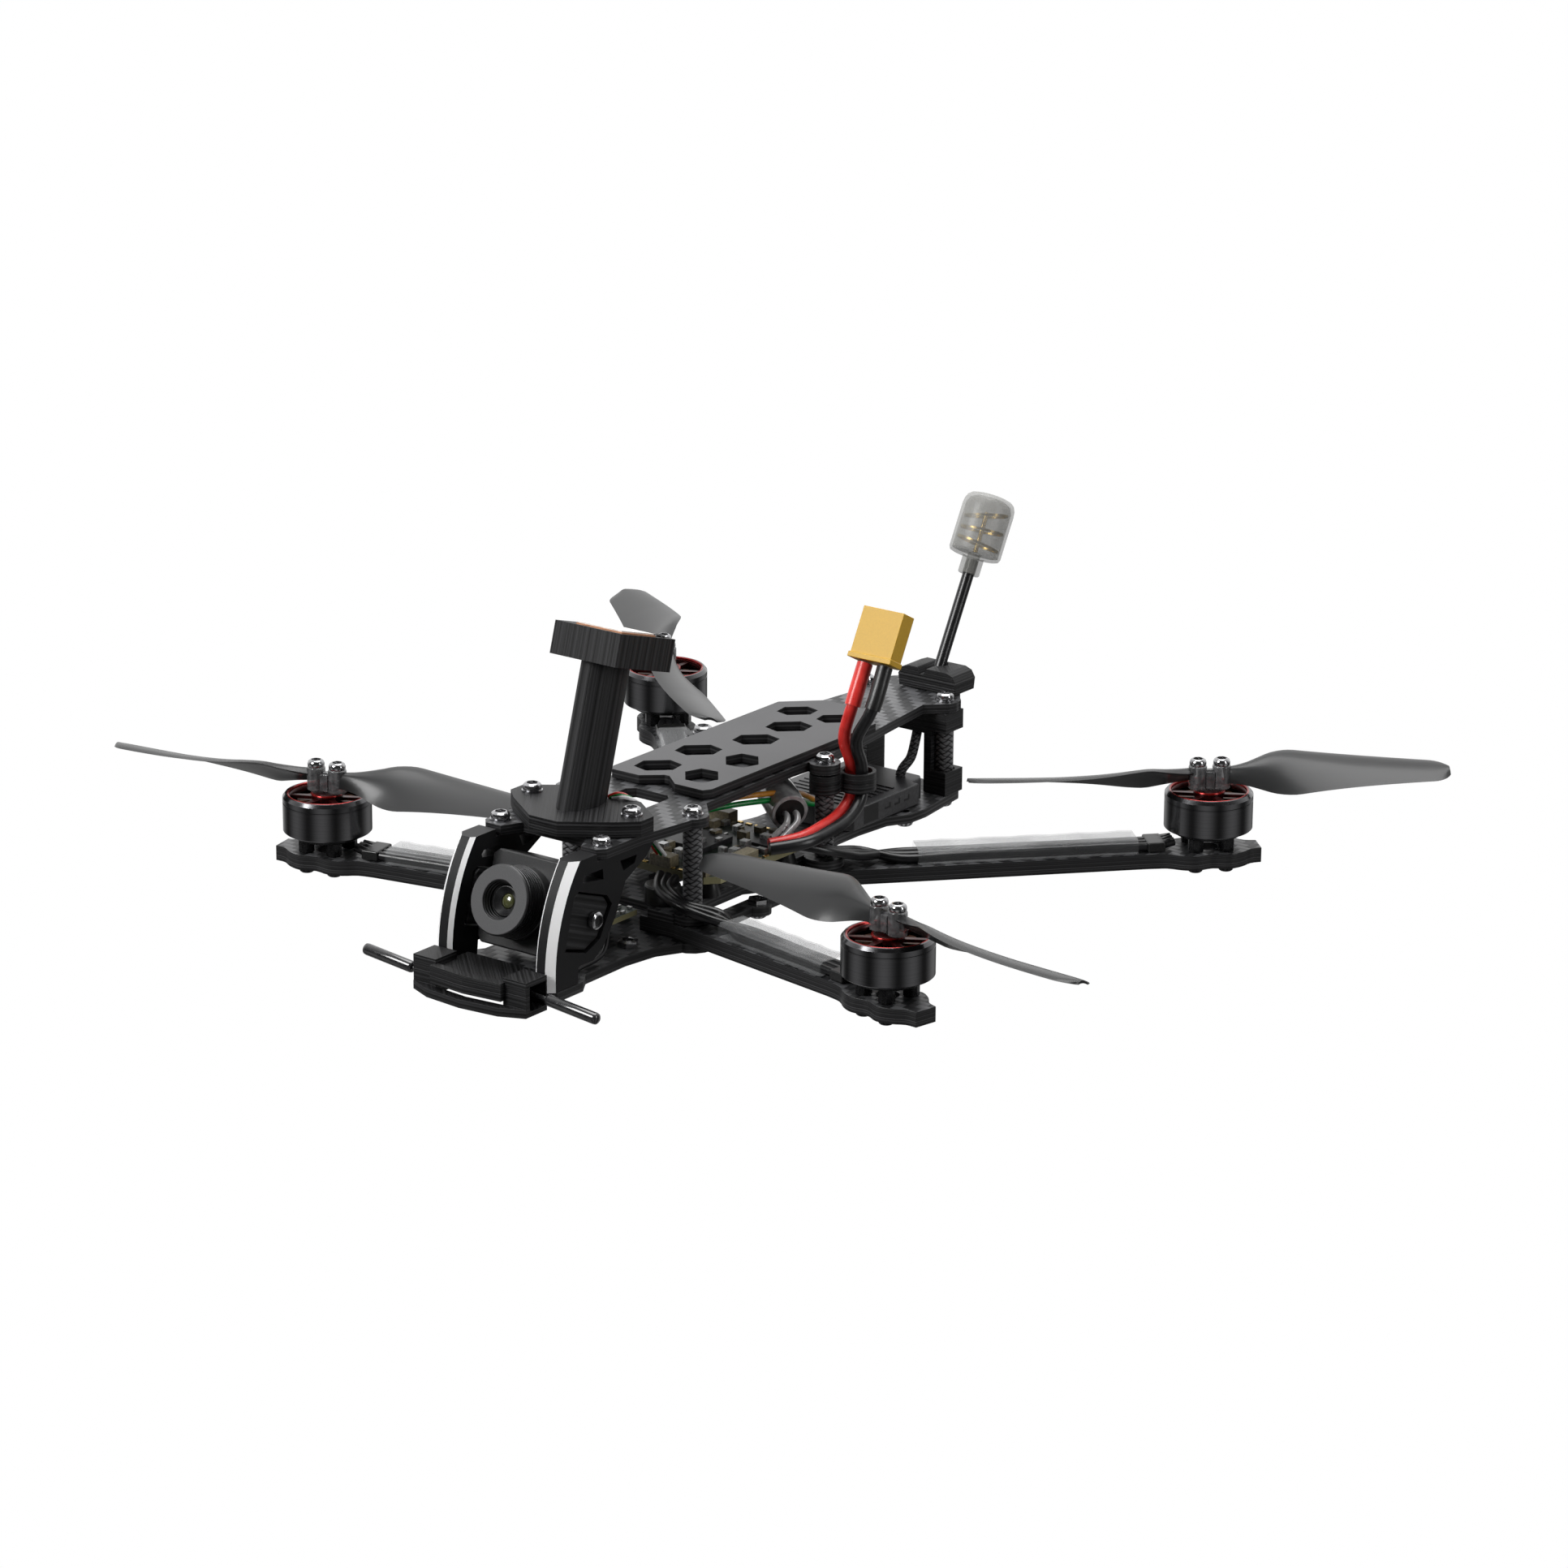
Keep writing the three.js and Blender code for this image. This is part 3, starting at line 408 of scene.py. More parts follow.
paint = {
    "carbon": carbonFinish(),
    "printedFlat": printedFinish("printedFlat", (0, 0, 1), (0.7, 0.7, 0)),
    "printedPost": postFinish(),
    "printedPad": printedFinish("printedPad", (0, 0.35, 0.94), (0, 0.35, 0.94), 0.9),
    "cage": cageFinish(),
    "braid": braidFinish("braidedPost", (0.002, 0.002, 0.002), (0.15, 0.15, 0.155)),
    "coax": braidFinish("braidedCoax", (0.003, 0.003, 0.003), (0.08, 0.08, 0.082), 0.9, 4),
    "pad": sheetFinish(),
    "blade": cloudFinish(
        "smokedBlade", 16.0, 1.0, ((0.009, 0.0092, 0.0096), (0.022, 0.0225, 0.023)), (0.3, 0.1),
        alpha=(0.96, -0.06), Specular_IOR_Level=0.35, Coat_Weight=0.12, Coat_Roughness=0.15),
    "bell": bellFinish(),
    "clear": clearFinish(),
    "frost": cloudFinish(
        "frostedCap", 0.35, 3.0, ((0.23, 0.23, 0.215), (0.3, 0.3, 0.28)), (0.28, 0.12), alpha=(0.4, 0.06),
        ramp=(0.3, 0.75), relief=(0.008, 0.4), Specular_IOR_Level=0.45),
    "lens": cloudFinish(
        "coatedLens", 3.0, 1.0, ((0.03, 0.033, 0.012), (0.09, 0.095, 0.03)), (0.16, 0.05),
        Coat_Weight=1.0, Coat_Roughness=0.02, Specular_IOR_Level=0.8),
    "boardGreen": boardFinish("boardGreen", (0.012, 0.02, 0.016), (0.05, 0.07, 0.05)),
    "hub": cloudFinish(
        "smokedHub", 1.1, 2.0, ((0.02, 0.02, 0.021), (0.16, 0.16, 0.165)), (0.1, 0.1), alpha=(0.55, 0.35),
        relief=(0.08, 0.6), Specular_IOR_Level=0.6, Coat_Weight=0.6, Coat_Roughness=0.05),
    "red": plainFinish(
        "redAnodised", (0.2, 0.006, 0.005), (0.3, 0.01, 0.008), 0.22, 0.3, 0.004, Metallic=0.6),
    "darkRed": plainFinish(
        "darkRedSpoke", (0.012, 0.002, 0.002), (0.05, 0.003, 0.003), 0.3, 0.5, 0.006, Metallic=0.6),
    "blackMetal": plainFinish(
        "blackMetal", (0.01, 0.01, 0.011), (0.03, 0.03, 0.031), 0.26, 0.3, 0.005, Metallic=0.7),
    "steel": plainFinish(
        "polishedSteel", (0.34, 0.34, 0.35), (0.46, 0.46, 0.47), 0.16, 0.6, 0.002, Metallic=1.0),
    # painted shade for the bottom of each screw socket
    "socket": plainFinish("paintedSocketShade", (0.003, 0.003, 0.003), (0.012, 0.012, 0.012), 0.5, 0.3, 0.004),
    "rod": plainFinish(
        "glossyRod", (0.01, 0.01, 0.011), (0.022, 0.022, 0.023), 0.16, 0.8, 0.002, Coat_Weight=0.5),
    "blackPlastic": plainFinish(
        "blackPlastic", (0.004, 0.004, 0.0045), (0.011, 0.011, 0.012), 0.38, 0.25, 0.012),
    "greyRing": plainFinish("greyRing", (0.042, 0.042, 0.044), (0.055, 0.055, 0.057), 0.5, 0.15, 0.006),
    "greyCase": plainFinish(
        "greyCase", (0.05, 0.05, 0.052), (0.075, 0.075, 0.078), 0.42, 0.5, 0.01, Metallic=0.3),
    "siliconeBlack": wireFinish("siliconeBlack", (0.004, 0.004, 0.0045), (0.009, 0.009, 0.01)),
    "siliconeRed": wireFinish("siliconeRed", (0.56, 0.022, 0.018), (0.66, 0.032, 0.026)),
    "shrinkRed": wireFinish("shrinkRed", (0.62, 0.032, 0.026), (0.72, 0.045, 0.036)),
    "siliconeGreen": wireFinish("siliconeGreen", (0.0, 0.16, 0.03), (0.0, 0.28, 0.05)),
    "siliconeOrange": wireFinish("siliconeOrange", (0.5, 0.2, 0.02), (0.65, 0.28, 0.04)),
    "siliconeWhite": wireFinish("siliconeWhite", (0.6, 0.6, 0.6), (0.75, 0.75, 0.75)),
    "yellow": plainFinish("mouldedYellow", (0.5, 0.29, 0.012), (0.54, 0.315, 0.016), 0.42, 0.35, 0.006),
    "brass": plainFinish(
        "goldContact", (0.62, 0.42, 0.12), (0.8, 0.58, 0.22), 0.25, 0.3, 0.004, Metallic=1.0),
    "copper": plainFinish("copperEdge", (0.3, 0.13, 0.06), (0.42, 0.19, 0.09), 0.45, 0.4, 0.008),
    "winding": plainFinish(
        "darkWinding", (0.02, 0.008, 0.004), (0.09, 0.03, 0.012), 0.35, 0.3, 0.03, Metallic=0.5),
    "beige": plainFinish("beigePlug", (0.13, 0.11, 0.07), (0.22, 0.19, 0.12), 0.4, 0.5, 0.01),
    "ceramic": plainFinish("paleCeramic", (0.62, 0.6, 0.57), (0.75, 0.73, 0.7), 0.5, 0.6, 0.01),
    "chip": plainFinish("chipBlack", (0.012, 0.012, 0.014), (0.028, 0.028, 0.03), 0.4, 0.3, 0.008),
    "tin": plainFinish("tinnedParts", (0.35, 0.36, 0.36), (0.6, 0.6, 0.6), 0.3, 0.4, 0.01, Metallic=0.8),
    "sleeveGrey": plainFinish(
        "greySleeve", (0.3, 0.3, 0.305), (0.46, 0.46, 0.465), 0.14, 1.6, 0.01, Coat_Weight=0.8),
    "rubber": plainFinish("blackRubber", (0.004, 0.004, 0.004), (0.01, 0.01, 0.01), 0.36, 0.3, 0.008),
}
slots = {  # finish to the record's material slot
    "carbon": "carbon", "printedFlat": "printed_plastic", "printedPost": "printed_plastic",
    "printedPad": "printed_plastic", "cage": "anodised_black", "braid": "braided_metal",
    "coax": "black_silicone", "pad": "pad_plate", "blade": "smoked_plastic", "bell": "gunmetal",
    "beige": "ceramic", "socket": "black_metal", "rod": "black_plastic", "hub": "smoked_plastic",
    "darkRed": "red_anodised", "winding": "copper", "greyCase": "black_metal",
    "clear": "clear_plastic", "frost": "frosted_plastic", "lens": "lens_glass",
    "boardGreen": "circuit_board", "red": "red_anodised",
    "blackMetal": "black_metal", "steel": "steel", "blackPlastic": "black_plastic",
    "greyRing": "black_plastic", "siliconeBlack": "black_silicone", "siliconeRed": "red_silicone",
    "shrinkRed": "red_silicone", "yellow": "yellow_plastic", "brass": "brass_contact",
    "copper": "copper", "ceramic": "ceramic", "sleeveGrey": "sleeve_grey", "rubber": "black_silicone",
}
print("finishes ready,", len(paint))


# Making pieces: a Build gathers faces in millimetres and becomes one object

class Build:
    def __init__(self, place=None):
        self.mesh = bmesh.new()
        self.place = place or Matrix.Identity(4)

    def skin(self, points, faces, place=None):
        spot = self.place @ (place or Matrix.Identity(4))
        made = [self.mesh.verts.new(spot @ Vector(point)) for point in points]
        for face in faces:
            self.mesh.faces.new([made[i] for i in face])

    def rings(self, rings, place=None, closed=False, capped=True):
        # loops of equally many points, joined side to side
        count = len(rings[0])
        points = [point for ring in rings for point in ring]
        faces = []
        for i in range(len(rings) if closed else len(rings) - 1):
            a, b = i * count, ((i + 1) % len(rings)) * count
            for k in range(count):
                n = (k + 1) % count
                faces.append((a + k, a + n, b + n, b + k))
        if capped and not closed:
            faces.append(tuple(reversed(range(count))))
            last = (len(rings) - 1) * count
            faces.append(tuple(range(last, last + count)))
        self.skin(points, faces, place)

    def lathe(self, profile, place=None, sides=48, closed=False):
        # profile rises along Z as (radius, height); a third value of 6 makes that ring a hexagon
        rings = []
        for radius, height, *shape in profile:
            ring = []
            for k in range(sides):
                angle = turn * k / sides
                reach = max(radius, 1e-4)
                if shape:
                    reach /= math.cos((angle % (turn / 6)) - turn / 12)
                ring.append((reach * math.cos(angle), reach * math.sin(angle), height))
            rings.append(ring)
        self.rings(rings, place, closed)

    def block(self, low, high, place=None):
        (x0, y0, z0), (x1, y1, z1) = low, high
        base = [(x0, y0), (x1, y0), (x1, y1), (x0, y1)]
        self.rings([[(x, y, z) for x, y in base] for z in (z0, z1)], place)

    def prism(self, outline, low, high, place=None):
        self.rings([[(x, y, z) for x, y in outline] for z in (low, high)], place)

    def tube(self, route, radius, sides, smooth):
        line = curved(route, smooth)
        rings = []
        side = None
        for i, point in enumerate(line):
            ahead = (line[min(i + 1, len(line) - 1)] - line[max(i - 1, 0)]).normalized()
            side = ahead.orthogonal() if side is None else side - ahead * side.dot(ahead)
            side.normalize()
            other = ahead.cross(side)
            angles = [turn * k / sides for k in range(sides)]
            rings.append([point + (side * math.cos(a) + other * math.sin(a)) * radius for a in angles])
        self.rings(rings)

    def finish(self, name, look, body="frame", replaces=(), **edge):
        bmesh.ops.remove_doubles(self.mesh, verts=self.mesh.verts, dist=1e-3)
        bmesh.ops.recalc_face_normals(self.mesh, faces=self.mesh.faces)
        bmesh.ops.scale(self.mesh, vec=(mm, mm, mm), verts=self.mesh.verts)
        data = bpy.data.meshes.new(name)
        self.mesh.to_mesh(data)
        self.mesh.free()
        return settle(bpy.data.objects.new(name, data), look, body, replaces, **edge)


def settle(piece, look, body, replaces=(), bevel=0.0, sharp=32, steps=2):
    bpy.context.scene.collection.objects.link(piece)
    piece.data.materials.clear()
    piece.data.materials.append(paint[look])
    piece.data.polygons.foreach_set("use_smooth", [True] * len(piece.data.polygons))
    piece.data.set_sharp_from_angle(angle=math.radians(sharp))
    if bevel:
        edge = piece.modifiers.new("edge", "BEVEL")
        edge.width, edge.segments, edge.limit_method = bevel * mm, steps, "ANGLE"
        edge.angle_limit = math.radians(sharp)
        edge.harden_normals = True
    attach(piece, body)
    if replaces:
        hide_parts(*replaces)
    look in slots
    return piece


def curved(route, smooth):  # a smooth line through the points
    points = [Vector(point) for point in route]
    if smooth < 2 or len(points) < 3:
        return points
    line = []
    for i in range(len(points) - 1):
        a, b = points[max(i - 1, 0)], points[i]
        c, d = points[i + 1], points[min(i + 2, len(points) - 1)]
        for k in range(smooth):
            t = k / smooth
            line.append(0.5 * (2 * b + (c - a) * t + (2 * a - 5 * b + 4 * c - d) * t ** 2
                               + (3 * b - a - 3 * c + d) * t ** 3))
    return line + [points[-1]]


def soften(node, look, body="frame", bevel=0.15, sharp=30, steps=2, thin=1.0):
    # the part's own mesh with eased edges, standing for the part
    mesh = bmesh.new()
    mesh.from_mesh(nodes[node].data)
    bmesh.ops.remove_doubles(mesh, verts=mesh.verts, dist=2e-6)
    bmesh.ops.dissolve_limit(mesh, angle_limit=math.radians(1.5), verts=mesh.verts, edges=mesh.edges)
    bmesh.ops.scale(mesh, vec=(1, 1, thin), verts=mesh.verts)
    data = bpy.data.meshes.new(node + "_eased")
    mesh.to_mesh(data)
    mesh.free()
    eased = bpy.data.objects.new(node + "_eased", data)
    return settle(eased, look, body, (node,), bevel, sharp, steps)


def turned(name, look, profile, place, sides=48, closed=False, **how):  # one piece made on the lathe
    build = Build(place)
    build.lathe(profile, sides=sides, closed=closed)
    return build.finish(name, look, **how)


def wired(name, look, route, radius, sides, smooth):  # one wire along its route
    build = Build()
    build.tube(route, radius, sides, smooth)
    return build.finish(name, look, sharp=60)


def shift(x, y, z):
    return Matrix.Translation((x, y, z))


def lean(degrees, axis="X"):
    return Matrix.Rotation(math.radians(degrees), 4, axis)


def screwHead(build, socketShade, place, radius=1.95, height=1.45):
    # button head with a hexagon socket, standing on z = 0 of its place
    shape = (
        (0, 0), (0.94, 0), (1, 0.14), (1, 0.46), (0.93, 0.76), (0.76, 0.95), (0.66, 1), (0.54, 1, 6),
        (0.52, 0.35, 6), (0, 0.32),
    )
    # painted shade: a near black hexagon plug fills the bottom of the socket, built apart from the head
    well = ((0, 0.33), (0.51, 0.36, 6), (0.51, 0.6, 6), (0, 0.58))
    for owner, profile, sides in ((build, shape, 36), (socketShade, well, 6)):
        owner.lathe([(radius * r, height * z, *six) for r, z, *six in profile], place, sides)


# Cords: the two battery leads, from the board through the clip to the connector

leadWire = {
    "radius": 1.3, "shrink": 1.66, "shrinkLength": 9.6, "lean": 28, "gap": 0.3,
    "pitch": 2.5,  # from the middle of the connector to each lead
    "connector": (21, 8.1, 47.3), "clip": (20, 3.7),
}


def leadRoute(side):
    slope = math.radians(leadWire["lean"])
    clipX, clipY = leadWire["clip"]
    lane = clipX + side * (leadWire["radius"] + 0.06)
    top = Vector(leadWire["connector"]) + Vector((side * leadWire["pitch"], 0, 0))
    down = Vector((0, -math.sin(slope), -math.cos(slope)))
    return [Vector(point) for point in (
        (16.4 + side * 0.9, -21.6 - side * 1.1, 14.6),
        (20.4 + side * 1.4, -15.6 - side * 0.6, 15.2),
        (21.2 + side * 1.4, -9, 16),
        (21 + side * 1.4, -2.6, 17),
        (lane + 0.6, 1.8, 19.4),
        (lane, clipY - 0.3, 22.6),
        (lane - 0.2, clipY - 0.4, 27),
        (lane - 1.1 + side * 0.2, clipY - 1.2, 32.2),
        top + down * (leadWire["shrinkLength"] - 0.2),
        top + down * leadWire["gap"],
    )]


def addLead(name, side, look, node):
    line = curved(leadRoute(side), 4)
    data = bpy.data.curves.new(name, "CURVE")
    data.dimensions = "3D"
    data.bevel_depth = leadWire["radius"] * mm
    data.bevel_resolution = 8
    data.use_fill_caps = True
    spline = data.splines.new("POLY")
    spline.points.add(len(line) - 1)
    for point, spot in zip(spline.points, line):
        point.co = (*(spot * mm), 1)
    data.materials.append(paint[look])
    lead = bpy.data.objects.new(name, data)
    bpy.context.scene.collection.objects.link(lead)
    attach(lead, "frame")
    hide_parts(node)
    length = sum((b - a).length for a, b in zip(line, line[1:]))
    return lead, line, length


def addConnector():
    foot = Matrix.Translation(leadWire["connector"]) @ lean(-leadWire["lean"])
    shell = soften("battery_connector", "yellow", bevel=0.28)
    pins = Build(foot)
    for side in (-1, 1):
        spot = shift(side * leadWire["pitch"], 0, 0)
        pins.lathe([(0, 6), (0.75, 6), (0.8, 9.8), (0.5, 10.15), (0, 10.2)], spot, 20)
    contact = pins.finish("connector_contacts", "brass")
    return shell, contact


connectorParts = addConnector()
for leadName, side, look in (("lead_red", -1, "siliconeRed"), ("lead_black", 1, "siliconeBlack")):
    lead, line, length = addLead(leadName, side, look, "battery_" + leadName)
    sleeve = Build()
    ends = [point for point in line if (point - line[-1]).length < leadWire["shrinkLength"]]
    sleeve.tube([point + Vector((0, 0, -0.1)) for point in ends], leadWire["shrink"], 20, 1)
    cover = sleeve.finish(leadName + "_shrink", "shrinkRed" if side < 0 else "rubber")
    tuple(line[0] * mm)
    length * mm
    print(leadName, "is", round(length, 1), "mm long")


# Frame plates, arms and the printed parts

for plate in ("bottom_plate", "mid_plate", "top_plate"):
    soften(plate, "carbon", bevel=0.14)
for tag in corners:
    soften("arm_" + tag, "carbon", bevel=0.16)
soften("battery_pad", "pad", bevel=0.12)
soften("front_bumper", "printedFlat", bevel=0.4, steps=3, thin=0.994)
soften("wire_clip", "printedFlat", bevel=0.2)
soften("rear_bracket", "printedFlat", bevel=0.3)
soften("antenna_clamp", "printedFlat", bevel=0.35)
soften("gps_mount", "printedPost", bevel=0.3)
for side in ("left", "right"):
    soften("cage_plate_" + side, "cage", bevel=0.1)
    soften("camera_pad_" + side, "printedPad", bevel=0.3)
print("plates, arms and printed parts eased")

standoffLook = {"radius": 2.0, "cap": 0.35}


def addStandoffs():
    r, cap = standoffLook["radius"], standoffLook["cap"]
    for place in ("front", "middle", "rear"):
        for side in ("left", "right"):
            node = f"standoff_{place}_{side}"
            low, high = corner(node, 0), corner(node, 1)
            tall = high.z - low.z
            turned(node + "_braided", "braid", [
                (0, 0), (r - 0.2, 0), (r - 0.02, cap), (r - 0.02, tall - cap), (r - 0.2, tall), (0, tall),
            ], shift((low.x + high.x) / 2, (low.y + high.y) / 2, low.z), 40, replaces=(node,))


addStandoffs()


# Motors

motorLook = {
    "spokes": 6, "windings": 9, "footCircle": 4.6, "shell": 9.25, "propScrew": 5.0,
    "frontRoot": (15.5, -45.3), "rearRoot": (15.75, -1.2),  # where the arms start
}


def armAngle(tag):
    spec = corners[tag]
    spot = middle("motor_bell_" + tag)
    x, y = motorLook["frontRoot" if spec["y"] < 0 else "rearRoot"]
    return math.degrees(math.atan2(spot.y - y, spot.x - x * spec["x"]))


def addMotor(tag):
    bell = middle("motor_bell_" + tag)
    body = "rotor_" + tag
    home = shift(bell.x, bell.y, 0)
    top = corner("motor_bell_" + tag, 1).z - 0.2
    r = motorLook["shell"]
    turned("bell_" + tag, "bell", [
        (8.3, 9.72), (r - 0.2, 9.7), (r, 9.9), (r, top - 1.95), (r - 0.14, top - 1.88),
        (r - 0.14, top - 1.76), (r, top - 1.7), (r, top - 0.75), (r - 0.55, top - 0.06),
        (r - 0.85, top), (8.3, top - 0.05),
    ], home, 96, True, body=body, replaces=("motor_bell_" + tag,), sharp=28)
    crown = Build(home)
    crown.lathe([
        (8.32, top - 0.5), (8.32, top - 0.04), (8.2, top + 0.03), (7.95, top - 0.1), (7.85, top - 0.5),
    ], sides=96, closed=True)
    crown.lathe([
        (2.9, top - 0.35), (3.3, top - 0.35), (3.38, top - 0.15), (3.3, top + 0.02), (2.9, top + 0.02),
    ], sides=64, closed=True)
    crown.finish("crown_" + tag, "red", body, sharp=40)
    wheel = Build(home)
    wheel.lathe([
        (7.5, top - 1.6), (8.31, top - 1.6), (8.31, top - 0.5), (7.84, top - 0.5), (7.55, top - 0.9),
    ], sides=96, closed=True)
    wheel.lathe([
        (0.8, top - 1.5), (3.1, top - 1.5), (3.28, top - 1.3), (3.28, top - 0.36), (2.9, top - 0.36),
        (2.9, top + 0.05), (0.8, top + 0.1),
    ], closed=True)
    for k in range(motorLook["spokes"]):
        spoke = lean(k * 360 / motorLook["spokes"] + 30, "Z")
        wheel.prism([(3.1, -0.75), (7.7, -0.5), (7.7, 0.5), (3.1, 0.75)], top - 1.45, top - 0.75, spoke)
    wheel.finish("spokes_" + tag, "darkRed", body, bevel=0.1)
    shaft = [(0, 7.1), (0.74, 7.1), (0.74, top + 0.15), (0, top + 0.18)]
    turned("shaft_" + tag, "steel", shaft, home, 20, body=body)
    addStator(tag, home)


def addStator(tag, home):  # base with its feet, windings, and the screws from below
    seat = home @ lean(armAngle(tag), "Z")
    reach = motorLook["footCircle"]
    angles = [math.radians(45 + 90 * k) for k in range(4)]
    feet = [(reach * math.cos(angle), reach * math.sin(angle)) for angle in angles]
    base, heads, socketShadeBuild = Build(seat), Build(seat), Build(seat)
    for x, y in feet:
        foot = [(0, 5.42), (1.62, 5.42), (1.68, 5.6), (1.68, 8.6), (1.4, 8.9), (0, 8.9)]
        base.lathe(foot, shift(x, y, 0), 9)
        screwHead(heads, socketShadeBuild, shift(x, y, 2.08) @ lean(180), 1.6, 1.15)
    dish = [(1.1, 8.5), (7.0, 8.5), (7.3, 8.8), (7.3, 9.3), (6.9, 9.6), (1.1, 9.6)]
    base.lathe(dish, sides=64, closed=True)
    base.finish("motor_base_" + tag, "blackMetal", replaces=("motor_stator_" + tag,), bevel=0.1)
    core = Build(home)
    for k in range(motorLook["windings"]):
        rings = []
        for x, w in ((2.6, 0.45), (3.2, 0.75), (6.0, 1.35), (6.6, 1.2)):
            half = ((w, 10.3), (w + 0.2, 11), (w + 0.2, 15.2), (w, 15.9))
            other = [(-y, z) for y, z in reversed(half)]
            rings.append([(x, y, z) for y, z in (*half, *other)])
        core.rings(rings, lean(k * 360 / motorLook["windings"], "Z"))
    core.finish("windings_" + tag, "winding", bevel=0.25)
    heads.finish("motor_screws_" + tag, "blackMetal")
    socketShadeBuild.finish("motor_socket_shade_" + tag, "socket")


# Propellers: a lofted blade and its twin, on two posts held by screws

propLook = {
    "radius": 50.65, "root": 3.0, "level": 20.5, "stations": 44,
    "climb": 9.5, "steepest": 38,  # twist of the blade: climb per radian, and its limit at the root
    "low": 18.1, "high": 23.1,
}


def bladeChord(t):
    rise = min(1, t / 0.33)
    fall = max(0, (t - 0.33) / 0.67)
    tip = max(0, (t - 0.92) / 0.08)
    full = 3.8 + 9 * rise * rise * (3 - 2 * rise) - 4.8 * fall ** 1.2
    return full * math.sqrt(1 - 0.84 * tip * tip)


def bladeSection(t):  # across and up, nose first, for a thin cambered blade
    chord = bladeChord(t)
    thick = 1.9 - 1.45 * min(1, t * 1.6) ** 0.6
    upper, lower = [], []
    for k in range(13):
        s = k / 12
        camber = 0.9 * math.sin(math.pi * s ** 0.8) * (1 - 0.4 * t)
        body = thick * (s ** 0.5) * (1 - s) * 1.5 + 0.12
        upper.append(((0.5 - s) * chord, camber + body))
        lower.append(((0.5 - s) * chord, camber - body * 0.55))
    return upper + lower[-2:0:-1]


def addPropeller(tag):
    spec = corners[tag]
    spin = spec["spin"]
    bell = middle("motor_bell_" + tag)
    home = shift(bell.x, bell.y, 0) @ lean(spec["blade"], "Z")
    reach = motorLook["propScrew"] / 2
    blades = Build(home)
    for half in (0, 180):
        rings = []
        for i in range(propLook["stations"]):
            t = 1 - (1 - i / (propLook["stations"] - 1)) ** 1.25
            radius = propLook["root"] + (propLook["radius"] - propLook["root"]) * t
            twist = math.degrees(math.atan2(propLook["climb"], radius)) + 2
            pitch = math.radians(min(propLook["steepest"], twist))
            sweep = 1.6 * math.sin(math.pi * t ** 0.8) - 0.6 * t
            ring = []
            for a, b in bladeSection(t):
                across = a * math.cos(pitch) - b * math.sin(pitch) + sweep
                up = a * math.sin(pitch) + b * math.cos(pitch)
                ring.append((radius, across * spin, propLook["level"] + up))
            rings.append(ring)
        blades.rings(rings, lean(half, "Z"))
    blades.finish("blades_" + tag, "blade", "rotor_" + tag, ("propeller_" + tag,), sharp=50)
    hub = Build(home)
    low, high = propLook["low"], propLook["high"]
    for side in (-1, 1):
        hub.lathe([(0, low), (1.8, low), (1.92, low + 0.15), (1.92, high - 0.2), (1.75, high), (0, high)],
                  shift(side * reach, 0, 0), 32)
    hub.block((-reach, -0.55, low + 0.2), (reach, 0.55, high - 0.9))
    hub.block((-0.9, -1.4, low + 0.2), (0.9, 1.4, high - 1.2))
    hub.finish("prop_hub_" + tag, "hub", "rotor_" + tag, bevel=0.12)
    heads, socketShadeBuild = Build(home), Build(home)
    for side in (-1, 1):
        screwHead(heads, socketShadeBuild, shift(side * reach, 0, high + 0.02), 1.75, 1.45)
    heads.finish("prop_screws_" + tag, "steel", "rotor_" + tag)
    socketShadeBuild.finish("prop_socket_shade_" + tag, "socket", "rotor_" + tag)


for tag in corners:
    addMotor(tag)
    addPropeller(tag)
print("motors and propellers done")


# Motor leads and their clear sleeves

leadLook = {
    "radius": 0.95, "lane": 1.95, "height": 6.45,
    "front": {"length": 57.5, "bends": 4, "sleeve": (15.5, 46)},
    "rear": {"length": 80.5, "bends": 6, "sleeve": (15.5, 62)},
}


def leadInside(tag, lane):  # from the end of the arm, round the standoff and up to the board
    spec = corners[tag]
    if spec["y"] < 0:
        points = [(22.6 + lane * 0.3, -46.8 - lane * 1.95, 7.6), (16.6 + lane * 0.3, -49.8 - lane * 1.2, 9.6),
                  (9.5 - lane * 0.6, -47.6 - lane * 1.0, 11.0), (6.5 - lane * 1.9, -42.5, 11.9)]
    else:
        points = [(21.4 + lane * 1.5, 3.4 - lane * 1.2, 7.6), (20.4 + lane * 1.7, -2.5 - lane * 0.4, 9.2),
                  (19.2 + lane * 1.2, -8.5, 11.2), (15.4, -12.5 - lane * 2.1, 13.4)]
    return [Vector((spec["x"] * x, y, z)) for x, y, z in points]


